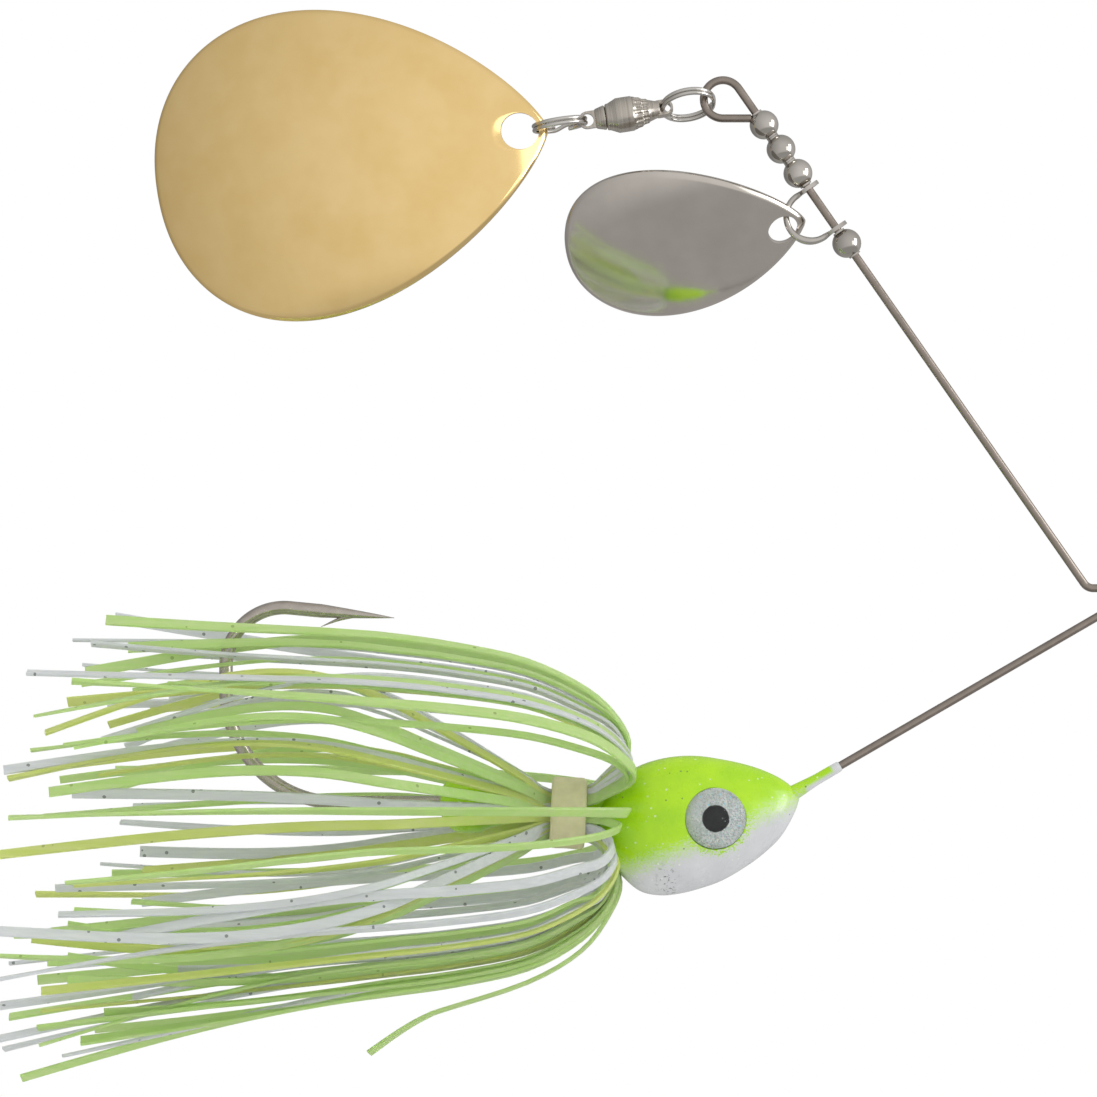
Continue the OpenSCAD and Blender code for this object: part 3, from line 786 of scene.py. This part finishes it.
def build_head():
    """Head, barbed keeper and the painted sleeve on the wire, joined as one casting."""
    bm = bmesh.new()
    rings = [[bm.verts.new(p) for p in ring] for ring in head_rings()]
    bridge(bm, rings)
    cap_ends(bm, rings)
    piece = finish_mesh("lead_head_painted", bm, NOSE)
    cut_sockets(piece)
    keeper = bmesh.new()
    path = line((0, 0, -HEAD_L + 3), (0, 0, -KEEPER_END), 60)

    def keeper_r(k):
        back = -path[k].z
        if back < BARB_START:
            return STEM_R
        if back < BARB_FULL:
            return STEM_R + (back - BARB_START) / (BARB_FULL - BARB_START) * (BARB_R - 0.15 - STEM_R)
        if back < BARB_ROUND:
            return BARB_R
        return max(0.3, BARB_R * math.sqrt(max(0.0, 1 - ((back - BARB_ROUND) / 2.7) ** 2)))

    sweep(keeper, path, round_section(keeper_r, 40))
    sleeve = bmesh.new()
    start, end = NOSE_ENTRY + 3 * LOWER_DIR, NOSE_ENTRY - 5.1 * LOWER_DIR
    sleeve_path = line(start, end, SLEEVE_STEPS)

    def sleeve_r(k):
        t = k / SLEEVE_STEPS
        rounded = 0.06 if k == SLEEVE_STEPS else 0
        return 1.0 - 0.32 * min(1.0, t * 1.6) - 0.11 * t + 0.01 * math.sin(9 * t) - rounded

    sweep(sleeve, sleeve_path, round_section(sleeve_r, 32))
    parts = [piece, finish_mesh("keeper", keeper, NOSE), finish_mesh("sleeve", sleeve, HUNG)]
    for part in parts[1:]:
        part.data.transform(part.matrix_world)
    with bpy.context.temp_override(
        active_object=piece, selected_editable_objects=parts, selected_objects=parts
    ):
        bpy.ops.object.join()
    shade(piece, 40)
    return fit(piece, "frame", "lead_head", head_finish)


def build_eyes():
    for side, name in ((-1, "near"), (1, "far")):
        place = NOSE @ moved(EYE_DROP, side * EYE_SEAT, -EYE_BACK) @ turn_x(90 if side < 0 else -90)
        foil = bmesh.new()
        lathe(foil, [(0.02, 0), (EYE_R, 0), (EYE_R, 0.22), (EYE_R - 0.05, 0.25), (0.02, 0.25)], 96)
        bmesh.ops.holes_fill(foil, edges=foil.edges)
        piece = finish_mesh(f"{name}_foil_disc", foil, place)
        fit(piece, "frame", f"{name}_eye_foil", foil_finish)
        dome = bmesh.new()
        ball = (EYE_R ** 2 + 1) / 2
        profile = [(0.01, 0.26), (EYE_R - 0.02, 0.26), (EYE_R, 0.30)]
        for i in range(1, 25):
            r = EYE_R * (1 - i / 24.2)
            profile.append((max(r, 0.01), 0.25 + 1 - ball + math.sqrt(ball ** 2 - r ** 2)))
        lathe(dome, profile, 96)
        bmesh.ops.holes_fill(dome, edges=dome.edges)
        piece = finish_mesh(f"{name}_clear_dome", dome, place, angle=50)
        fit(piece, "frame", f"{name}_eye_dome", dome_finish)


# ---------------------------------------------------------------- hook

HOOK_R = 0.75
BEND_BACK = 63.1
LIMB_L = 18.5
TAPER_L = 8.0
BARB_ROOT, BARB_TIP, BARB_LIFT = 4.2, 8.1, 1.75


def build_hook():
    """Shank, round bend and straight limb in one sweep, with a raised barb near the point."""
    bm = bmesh.new()
    gape, bend_r, small_r, lean_in = 22.1, 12.4, 6.4, 5.5
    lean_sin, lean_cos = math.sin(math.radians(lean_in)), math.cos(math.radians(lean_in))
    limb = Vector((lean_sin, 0, lean_cos))
    first = Vector((-bend_r, 0, bend_r - BEND_BACK))
    inset = math.tan(math.radians(90 + lean_in) / 2)
    second = Vector((-gape, 0, -BEND_BACK)) + small_r * Vector((inset, 0, 1))
    limb_start = second + small_r * Vector((-lean_cos, 0, lean_sin))
    limb_l = (LIMB_L - BEND_BACK - limb_start.z) / lean_cos
    tip = limb_start + limb_l * limb
    path = joined(
        line((0, 0, -9), (0, 0, first.z), 40),
        arc(first, bend_r, 0, -90, 40),
        line((-bend_r, 0, -BEND_BACK), (second.x, 0, -BEND_BACK), 4),
        arc(second, small_r, -90, -180 - lean_in, 30),
        line(limb_start, tip, 40),
    )
    total = len(path) - 1

    def taper(k):
        left = (path[k] - tip).length if k > total - 40 else 99
        return HOOK_R * max(0.05, min(1.0, (left / TAPER_L) ** 0.8))

    sweep(bm, path, round_section(taper, 24))
    root, barb = tip - BARB_ROOT * limb, tip - BARB_TIP * limb + Vector((BARB_LIFT, 0, 0))
    barb_path = smooth_path([root, root.lerp(barb, 0.5) + Vector((-0.12, 0, 0)), barb], 8)

    def barb_section(k):
        t = k / (len(barb_path) - 1)
        wide, deep = 0.42 * (1 - 0.85 * t), 0.36 * (1 - 0.92 * t)
        return oval(wide, deep, 16)

    sweep(bm, barb_path, barb_section)
    piece = finish_mesh("bent_hook", bm, NOSE)
    return fit(piece, "frame", "hook", hook_finish)


# ---------------------------------------------------------------- collar

COLLAR_SIDES, DENTS = 72, 12


def build_collar():
    bm = bmesh.new()
    inner, outer, half = 3.15, 3.95, 1.95
    profile = [
        (inner, -half + 0.2), (inner + 0.2, -half), (outer - 0.3, -half), (outer, -half + 0.3),
        (outer - 0.05, -0.7), (outer - 0.08, 0), (outer - 0.03, 0.8), (outer, half - 0.3),
        (outer - 0.3, half), (inner + 0.2, half), (inner, half - 0.2), (inner + 0.03, 0),
    ]
    random.seed(4)
    dents = [random.uniform(-0.12, 0.12) for _ in range(DENTS)]

    def dented(i, j, r):
        a = j / COLLAR_SIDES * DENTS
        k = int(a)
        t = a - k
        t = t * t * (3 - 2 * t)
        dent = dents[k % DENTS] * (1 - t) + dents[(k + 1) % DENTS] * t
        return r + dent * (1 if r > inner + 0.4 else 0.3)

    lathe(bm, profile, COLLAR_SIDES, dented)
    place = NOSE @ moved(1.2, 0, -25.5) @ turn_y(3)
    piece = finish_mesh("rubber_collar", bm, place, levels=1)
    return fit(piece, "frame", "skirt_collar", collar_finish)


# ---------------------------------------------------------------- skirt

# Outer envelope of the skirt: distance behind the nose, and radius from the bundle's axis
FLARE = [(18.8, 7.2), (20.0, 10.6), (23.5, 14.0), (30, 17.2), (38, 19.0), (45, 20.0)]
HALFWAY = 45.0

# Strands seen from the side: colour, distance of the tip behind the nose, height of the tip above
# the shank, and height halfway along, in mm
SIDE_STRANDS = [
    ("g", 75.6, 20.2, 18.4), ("w", 80.3, 17.8, 16.4), ("w", 77.4, 17.6, 15.3), ("g", 73.6, 17.1, 16.9),
    ("w", 69.7, 16.4, 14.9), ("w", 82.5, 14.9, 13.7), ("w", 79.9, 14.9, 12.9), ("g", 78.7, 13.1, 15.5),
    ("y", 80.1, 11.2, 12.5), ("g", 73.6, 12, 10.6), ("y", 81.3, 8.3, 11.8), ("y", 74, 9.2, 7),
    ("w", 74.8, 7.8, 14.5), ("g", 82.4, 6.6, 5.9), ("w", 77, 6.7, 9.4), ("w", 84.8, 4.7, 5.9),
    ("g", 83.5, 1.5, 2.6), ("w", 78.2, 2, 0.8), ("g", 82.9, 0.4, 0.6), ("g", 84.8, -2.3, 0),
    ("y", 85.9, -4.3, -1.4), ("w", 77, -3.6, -4), ("y", 78, -7.7, -5.2), ("w", 80.7, -8.6, -6.7),
    ("g", 78.2, -9.7, -9.3), ("w", 88, -11.7, -9.8), ("y", 86.6, -11.8, -8.7), ("g", 88.2, -15, -10.6),
    ("y", 82.5, -13.3, -11), ("w", 76.2, -15, -12.6), ("w", 88.3, -17.7, -12), ("w", 88, -18.5, -13.4),
    ("y", 81.1, -18.7, -15), ("w", 88, -21.9, -15.7), ("g", 87.2, -23.8, -17.7), ("w", 87.8, -25.6, -18.1),
    ("w", 88.2, -27.7, -18.9), ("w", 80.7, -27.5, -19.7), ("g", 78.5, -25.6, -20.5), ("g", 86.2, -30.9, -21.4),
    ("g", 47.3, -27.3, -22.6), ("g", 79, 14.2, 17.6), ("g", 81.5, 10.4, 14), ("g", 83, -24, -19.6),
    ("g", 85, -20.5, -16.6), ("g", 76, -22.5, -19.2), ("y", 84, 3.2, 4.4), ("g", 80, -13, -12.2),
    ("g", 82, -17, -14.5), ("w", 84, -20, -16.5), ("g", 80, -19, -17.8), ("w", 86, -16.2, -13),
    ("y", 83, -22.5, -18.6), ("g", 78, -10.5, -8), ("w", 79, 9.8, 9.6), ("g", 77, 7.2, 8.4),
    ("w", 72, 5, 6.6), ("y", 76, 3.6, 4.6), ("g", 80, 2.4, 3.4), ("w", 75, -1.4, -1),
    ("g", 77, -6.2, -3.4), ("y", 74, -8.8, -5.8), ("w", 79, -10.4, -7.4), ("g", 72, -9.6, -7.8),
    ("w", 70, 11.2, 11), ("g", 68, 13.6, 13.2), ("w", 74, -12.4, -9.4), ("g", 75, -13.8, -10.8),
    ("g", 71, 8.6, 9), ("w", 68, -17.5, -13.8), ("w", 73, -21, -16.8),
]
COLLAR_DROP = 1.2
LONGEST = 88.3
REAR_REACH = 12.5
SKIRT_SEED = 23


def strand_path(tip_back, tip_up, mid_up, mid_out, rear, rng):
    """Centre line of half a strand, from inside the collar to its tip, in the nose's frame. Heights
    are above the shank, and mid_out is its depth halfway along."""
    halfway = min(HALFWAY, tip_back - 8)
    mid_up += COLLAR_DROP
    radius = math.hypot(mid_up, mid_out)
    up, out = mid_up / radius, mid_out / radius
    if rear:
        stations = [(24.5, 2.6), (27.6, 2.5)]
        for back in (30.5, 33.5, 37.0, 41.0, halfway):
            t = (back - 27.6) / (halfway - 27.6)
            r = 2.5 + (radius - 2.5) * t ** 0.9
            stations.append((back, max(r, 3.95) if 33 < back < 41.5 else r))
    else:
        q = min(1.15, radius / FLARE[-1][1])
        set_back = 1.2 if mid_up < 0 else 0.0
        stations = [(26.5, 2.75), (24.0, 2.75), (22.7, 3.1), (21.6, 4.1)]
        for back, r in FLARE[:2]:
            stations.append((back + set_back + 3.3 * (1 - q), r * (0.5 + 0.5 * q)))
        for back, r in FLARE[2:]:
            back = back + 0.6 * set_back + 1.8 * (1 - q) if back < 30 else back
            if back < halfway - 2:
                stations.append((back, r * q))
        stations.append((halfway, radius))
    points = [(back, r * up - COLLAR_DROP, r * out) for back, r in stations]
    (b0, u0, _), (b1, u1, _) = points[-2:]
    slope = (u1 - u0) / (b1 - b0)
    run = tip_back - halfway
    tip_out = mid_out * rng.uniform(0.95, 1.3)
    wave = rng.uniform(-0.5, 0.5)
    for i in range(1, 7):
        t = i / 6
        straight = u1 + slope * run * t
        bend_to = tip_up - (u1 + slope * run)
        height = straight + bend_to * t * t * (1.6 - 0.6 * t) + wave * math.sin(math.pi * t)
        points.append((halfway + run * t, height, mid_out + (tip_out - mid_out) * t))
    return smooth_path([(-height, depth, -back) for back, height, depth in points], 4)


def add_strand(bm, path, rng):
    wide, thick = rng.uniform(0.8, 1.35), rng.uniform(0.32, 0.42)
    start, turn = rng.uniform(-40, 40), rng.uniform(-90, 90)
    total = len(path) - 1
    middle = path[total // 2]
    around = Vector((middle.y, -middle.x, 0)).normalized()

    def section(k):
        t = k / total
        twist = math.radians(start * min(1, 3 * t) + turn * t * t)
        c, s = math.cos(twist), math.sin(twist)
        w, h, e = wide / 2, thick / 2, 0.08
        corners = [
            (w, h - e), (w - e, h), (e - w, h), (-w, h - e),
            (-w, e - h), (e - w, -h), (w - e, -h), (w, e - h),
        ]
        return [(x * c - y * s, x * s + y * c) for x, y in corners]

    sweep(bm, path, section, first_side=around)


def build_skirt():
    """Every strand of the list on one side, and every fourth with a partner on the other."""
    rng = random.Random(SKIRT_SEED)
    meshes = {"g": bmesh.new(), "w": bmesh.new(), "y": bmesh.new()}
    for i, (colour, tip_back, tip_up, mid_up) in enumerate(SIDE_STRANDS):
        first = 1 if i % 5 in (1, 4) else -1
        for near in (first, -first) if i % 4 == 2 else (first,):
            if near != first:
                tip_up += rng.uniform(-2.5, 2.5)
                mid_up += rng.uniform(-1.5, 1.5)
                tip_back += rng.uniform(-5, 2)
                colour = rng.choice("ggwwy") if abs(mid_up) < 15 else colour
            rear = abs(mid_up) < REAR_REACH and i % 6 > 0
            full = rng.uniform(0.35, 0.75) if rear else rng.uniform(0.55, 0.95)
            limit = FLARE[-1][1] * full
            mid_out = near * (math.sqrt(max(0.0, limit ** 2 - mid_up ** 2)) + rng.uniform(1.0, 4.0))
            path = strand_path(min(tip_back, LONGEST), tip_up, mid_up, mid_out, rear, rng)
            add_strand(meshes[colour], path, rng)
    for colour, name, node, slot, finish in (
        ("g", "chartreuse_strands", "green_strands", "green_silicone", green_finish),
        ("w", "white_strands", "pearl_strands", "pearl_silicone", pearl_finish),
        ("y", "yellow_strands", "lime_strands", "lime_silicone", lime_finish),
    ):
        piece = finish_mesh(name, meshes[colour], NOSE)
        fit(piece, "frame", node, finish)


# ---------------------------------------------------------------- beads and clevis

BEAD_R = 1.59
BEAD_START, BEAD_PITCH = 4.9, 3.25
EAR_HALF_T, EAR_GAP = 0.25, 0.15
EAR_LOW = BEAD_START + 2 * BEAD_PITCH + BEAD_R + EAR_HALF_T + EAR_GAP
CLEVIS_SPAN = 5.4
EAR_R, EAR_T = 1.3, 0.42
BOW_REACH = 4.25
BEAD_HIGH = EAR_LOW + CLEVIS_SPAN + EAR_HALF_T + BEAD_R + EAR_GAP
BORE_R = 0.505


def build_beads():
    neck_r, neck_h = 0.68, BEAD_R + 0.02
    profile = [(BORE_R, -neck_h + 0.05), (BORE_R + 0.05, -neck_h), (neck_r, -neck_h)]
    for i in range(33):
        a = math.radians(-64.7 + 129.4 * i / 32)
        profile.append((BEAD_R * math.cos(a), BEAD_R * math.sin(a)))
    profile += [(neck_r, neck_h), (BORE_R + 0.05, neck_h), (BORE_R, neck_h - 0.05)]
    low_three = [BEAD_START + i * BEAD_PITCH for i in range(3)]
    for i, up in enumerate((*low_three, BEAD_HIGH), 1):
        bm = bmesh.new()
        lathe(bm, profile, 64)
        piece = finish_mesh(f"round_bead_{i}", bm, on_arm(up))
        fit(piece, f"bead_{i}", f"bead_{i}", nickel_finish)


def build_clevis():
    """A wire bow whose two flattened ears ride on the arm."""
    bm = bmesh.new()
    for z in (0, CLEVIS_SPAN):
        ear = bmesh.new()
        holed_sheet(ear, oval(EAR_R, EAR_R, 48), BORE_R, EAR_T, lambda x, z: -EAR_T / 2, 3)
        add_part(bm, ear, moved(0, 0, z) @ turn_x(90))
    half = CLEVIS_SPAN / 2
    leg = BOW_REACH - half
    path = joined(
        line((0.7, 0, 0), (leg, 0, 0), 6),
        arc((leg, 0, half), half, -90, 90, 36),
        line((leg, 0, CLEVIS_SPAN), (0.7, 0, CLEVIS_SPAN), 6),
    )
    total = len(path) - 1

    def section(k):
        near_ear = max(0.0, 1 - min(k, total - k) / 6)
        foot = math.exp(-((k / total - 0.68) / 0.13) ** 2)
        wide, deep = 0.33 + 0.55 * near_ear + 0.1 * foot, 0.33 - 0.1 * near_ear + 0.1 * foot
        return oval(wide, deep, 20)

    sweep(bm, path, section)
    piece = finish_mesh("bow_clevis", bm, on_arm(EAR_LOW))
    return fit(piece, "clevis", "clevis", nickel_finish)


# ---------------------------------------------------------------- blades

SHEET_T = 0.6
RIM, RIM_FALL = 0.5, 0.16
DISH_SHARE, DOME_SHARE = 1.1, 0.55
# Length, width, hole, and from the hole's middle to the tip
SILVER_SIZE = (26.6, 18.1, 3.2, 2.5)
GOLD_SIZE = (44.0, 34.1, 4.05, 3.0)
SILVER_LEAN, SILVER_TURN, SILVER_TILT, GOLD_TILT = 8.6, 34, 8, 6
TIP_POWER, END_POWER = 0.76, 0.46


def half_width(u, wide):
    peak = TIP_POWER / (TIP_POWER + END_POWER)
    return wide / 2 * (u / peak) ** TIP_POWER * ((1 - u) / (1 - peak)) ** END_POWER


def blade_outline(long, wide, tip_l, count=180):
    """Outline points evenly spread round, from the tip down one side and up the other."""
    dense = []
    for side in (1, -1):
        run = []
        for k in range(1201):
            u = (1 - math.cos(math.pi * k / 1200)) / 2
            run.append(Vector((side * half_width(u, wide), tip_l - u * long)))
        dense += run if side > 0 else run[::-1][1:-1]
    lengths = [0.0]
    for a, b in zip(dense, dense[1:] + dense[:1]):
        lengths.append(lengths[-1] + (b - a).length)
    points, k = [], 0
    for i in range(count):
        want = lengths[-1] * i / count
        while lengths[k + 1] < want:
            k += 1
        t = (want - lengths[k]) / (lengths[k + 1] - lengths[k])
        points.append(dense[k].lerp(dense[(k + 1) % len(dense)], t))
    return [(p.x, p.y) for p in points]


def build_blade(name, size, place, node, finish):
    long, wide, hole_d, tip_l = size
    dish_r = DISH_SHARE * long
    dome_z = tip_l - DOME_SHARE * long
    dish_y = math.sqrt(dish_r ** 2 - dome_z ** 2)

    def surface(x, z):
        return dish_y - math.sqrt(dish_r ** 2 - x * x - (z - dome_z) ** 2)

    bm = bmesh.new()
    holed_sheet(bm, blade_outline(long, wide, tip_l), hole_d / 2, SHEET_T, surface, 40, RIM, RIM_FALL)
    piece = finish_mesh(name, bm, place, bevel=0.08)
    return fit(piece, node, node, finish)


def build_blades():
    silver_place = (
        on_arm(EAR_LOW + 2) @ moved(BOW_REACH + 0.55, 0, 0) @ turn_y(-UPPER_LEAN - SILVER_LEAN)
        @ turn_z(SILVER_TURN) @ turn_x(SILVER_TILT) @ moved(0, -0.45, 0)
    )
    gold_place = on_chain(GOLD_HOLE_AT) @ turn_x(GOLD_TILT)
    build_blade("small_blade", SILVER_SIZE, silver_place, "silver_blade", silver_finish)
    build_blade("large_blade", GOLD_SIZE, gold_place, "gold_blade", gold_finish)


# ---------------------------------------------------------------- rings and swivel

RING_R, RING_WIRE_R = 2.87, 0.23
LOOP_RING_TURN = 68
SWIVEL_PITCH = 8.58
EYE_HOLE_R, TAB_T, TAB_HALF = 0.7, 0.7, 0.95
LOOP_RING_AT = RING_R + LOOP_R - WIRE_R - RING_WIRE_R - 0.42
UPPER_EYE_AT = LOOP_RING_AT + RING_R - 0.24
LOWER_EYE_AT = UPPER_EYE_AT + SWIVEL_PITCH
BLADE_RING_AT = LOWER_EYE_AT + RING_R + 0.24 - 0.05
GOLD_HOLE_AT = BLADE_RING_AT + RING_R - RING_WIRE_R - 0.2 + 2.025


def build_ring(name, node, place, start):
    """A split ring: two turns of wire side by side, with a jog from one to the other."""
    bm = bmesh.new()
    path = []
    for turn in range(0, 695, 5):
        jog = min(1.0, max(0.0, (turn - 325) / 35))
        jog = jog * jog * (3 - 2 * jog)
        a = math.radians(turn + start)
        path.append(Vector((
            RING_R * math.cos(a), RING_WIRE_R * 1.02 * (2 * jog - 1), RING_R * math.sin(a)
        )))
    sweep(bm, path, round_section(RING_WIRE_R, 16))
    piece = finish_mesh(name, bm, place, bevel=0.05)
    return fit(piece, node, node, ring_finish)


def tab_outline(half, root, count=64):
    """A tab's outline round its eye hole: round below, straight up to its root."""
    points = []
    for j in range(count):
        a = 2 * math.pi * j / count
        x, z = math.cos(a), math.sin(a)
        toward = z * math.copysign(1, root)
        if toward <= 0:
            points.append((half * x, half * z))
        else:
            reach = min(half / max(abs(x), 1e-6), abs(root) / max(abs(z), 1e-6))
            points.append((reach * x, reach * z))
    return points


def build_swivel():
    """Barrel and stem, each turned from (radius, height above the lower eye) points with a tab."""
    body = bmesh.new()
    race = [(0.02, 4.29), (1.45, 4.29), (1.45, 2.95), (0.55, 2.95), (0.55, 2.44)]
    profile = race + [
        (1.22, 2.42), (1.24, 2.12), (1.38, 2.10), (1.45, 2.2), (1.48, 2.42), (1.84, 3.2), (1.91, 3.34),
        (1.92, 4.1), (1.91, 4.95), (1.87, 5.05), (1.84, 5.1), (1.76, 5.4), (1.70, 5.48), (1.62, 5.95),
        (1.54, 6.02), (1.48, 6.12), (1.42, 6.2), (1.34, 6.7), (1.26, 6.78), (1.2, 6.86), (0.98, 7.55),
        (0.88, 8.0), (0.74, 8.12), (0.02, 8.16),
    ]
    notched = {16: 0.14, 17: 0.14, 18: 0.14, 20: 0.12, 21: 0.12, 22: 0.12}

    def serrated(i, j, r):
        return r - notched[i] if i in notched and (j // 3) % 2 else r

    lathe(body, profile, 96, serrated)
    tab = bmesh.new()
    holed_sheet(tab, tab_outline(TAB_HALF, -0.9), EYE_HOLE_R, TAB_T, lambda x, z: -TAB_T / 2, 3)
    add_part(body, tab, moved(0, 0, SWIVEL_PITCH) @ turn_z(LOOP_RING_TURN - 90))
    piece = finish_mesh("swivel_barrel", body, on_chain(LOWER_EYE_AT), bevel=0.03)
    fit(piece, "swivel_body", "swivel_body", swivel_finish)

    shaft = bmesh.new()
    lathe(shaft, [
        (0.02, 0.86), (0.98, 0.88), (1.1, 1.0), (1.34, 1.86), (1.34, 1.95), (1.26, 2.02), (1.15, 2.04),
        (1.15, 2.34), (0.5, 2.36), (0.5, 3.69), (1.38, 3.69), (1.38, 4.09), (0.02, 4.09),
    ], 64)
    tab = bmesh.new()
    holed_sheet(tab, tab_outline(TAB_HALF, TAB_HALF), EYE_HOLE_R, TAB_T, lambda x, z: -TAB_T / 2, 3)
    add_part(shaft, tab, Matrix.Identity(4))
    piece = finish_mesh("swivel_stem", shaft, on_chain(LOWER_EYE_AT), bevel=0.03)
    fit(piece, "swivel_shaft", "swivel_shaft", swivel_finish)
    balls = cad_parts["swivel_balls"].data
    balls.materials.clear()
    balls.materials.append(nickel_finish)


build_wire()
build_head()
build_eyes()
build_hook()
build_collar()
build_skirt()
build_beads()
build_clevis()
build_blades()
build_ring("upper_split_ring", "loop_ring", on_chain(LOOP_RING_AT) @ turn_z(LOOP_RING_TURN), 100)
build_ring("lower_split_ring", "blade_ring", on_chain(BLADE_RING_AT) @ turn_z(90), 20)
build_swivel()


# ---------------------------------------------------------------- floor and light

def build_floor():
    bm = bmesh.new()
    bmesh.ops.create_grid(bm, x_segments=8, y_segments=8, size=0.4)
    bmesh.ops.translate(bm, verts=bm.verts, vec=(0, -0.1, -0.2))
    floor = to_object("floor", bm)
    material, tree, shader = new_material("pale_floor", Roughness=0.6)
    tone = ramp(tree, noise(tree, here(tree), 30.0), [(0.3, (0.86, 0.86, 0.86)), (0.7, (0.9, 0.9, 0.9))])
    plug(tree, shader, Base_Color=tone)
    floor.data.materials.append(material)
    floor.visible_glossy = False


def add_lamp(name, place, aim, size, power, mirrored=True):
    data = bpy.data.lights.new(name, "AREA")
    data.shape = "RECTANGLE"
    data.size, data.size_y = size
    data.energy = power
    lamp = bpy.data.objects.new(name, data)
    bpy.context.scene.collection.objects.link(lamp)
    lamp.location = place
    lamp.rotation_euler = (Vector(aim) - Vector(place)).to_track_quat("-Z", "Y").to_euler()
    lamp.visible_camera = False
    lamp.visible_glossy = mirrored
    return lamp


def light_room():
    """White behind the lure, dim towards the camera, with soft lamps above and beside it."""
    world = bpy.data.worlds.new("studio")
    bpy.context.scene.world = world
    world.use_nodes = True
    tree = world.node_tree
    tree.nodes.clear()
    way = put(tree, "ShaderNodeTexCoord").outputs["Generated"]

    def along(direction, offset=0.0):
        return math_node(tree, "ADD", vector(tree, "DOT_PRODUCT", way, direction), offset)

    wall = along((0.0, -0.22, 0.17), 0.56)
    table = spread(tree, along((1.0, 0.0, 0.1)), 0.44, 0.60)
    sharp = put(tree, "ShaderNodeMix", {0: table, 2: wall, 3: 0.44}, data_type="FLOAT").outputs[0]
    soft = along((-0.10, 0.08, 0.10), 0.84)
    path = put(tree, "ShaderNodeLightPath").outputs
    chosen = {0: path["Is Glossy Ray"], 2: soft, 3: sharp}
    level = put(tree, "ShaderNodeMix", chosen, data_type="FLOAT").outputs[0]
    room = ramp(tree, level, [(0.0, (0.0, 0.0, 0.0)), (1.0, (1.0, 0.985, 0.965))])
    tone = mix(tree, path["Is Camera Ray"], room, rgba(1, 1, 1))
    glow = put(tree, "ShaderNodeBackground", {"Color": tone, "Strength": 1.0})
    put(tree, "ShaderNodeOutputWorld", {"Surface": glow.outputs[0]})
    add_lamp("top_softbox", (-0.05, -0.18, 0.50), (0, 0, -0.06), (0.45, 0.22), 0.9)
    window = add_lamp("right_window", (0.0, -0.30, 0.50), (0, 0, -0.03), (0.30, 0.50), 0.55)
    window.visible_diffuse = False
    add_lamp("side_softbox", (-0.55, -0.30, 0.0), (0, 0, -0.06), (0.22, 0.5), 0.15, mirrored=False)
    add_lamp("front_fill", (0.1, -0.65, 0.1), (0, 0, -0.07), (0.5, 0.5), 0.1, mirrored=False)


build_floor()
light_room()
bpy.context.scene.view_settings.view_transform = "Standard"

bpy.context.view_layer.update()
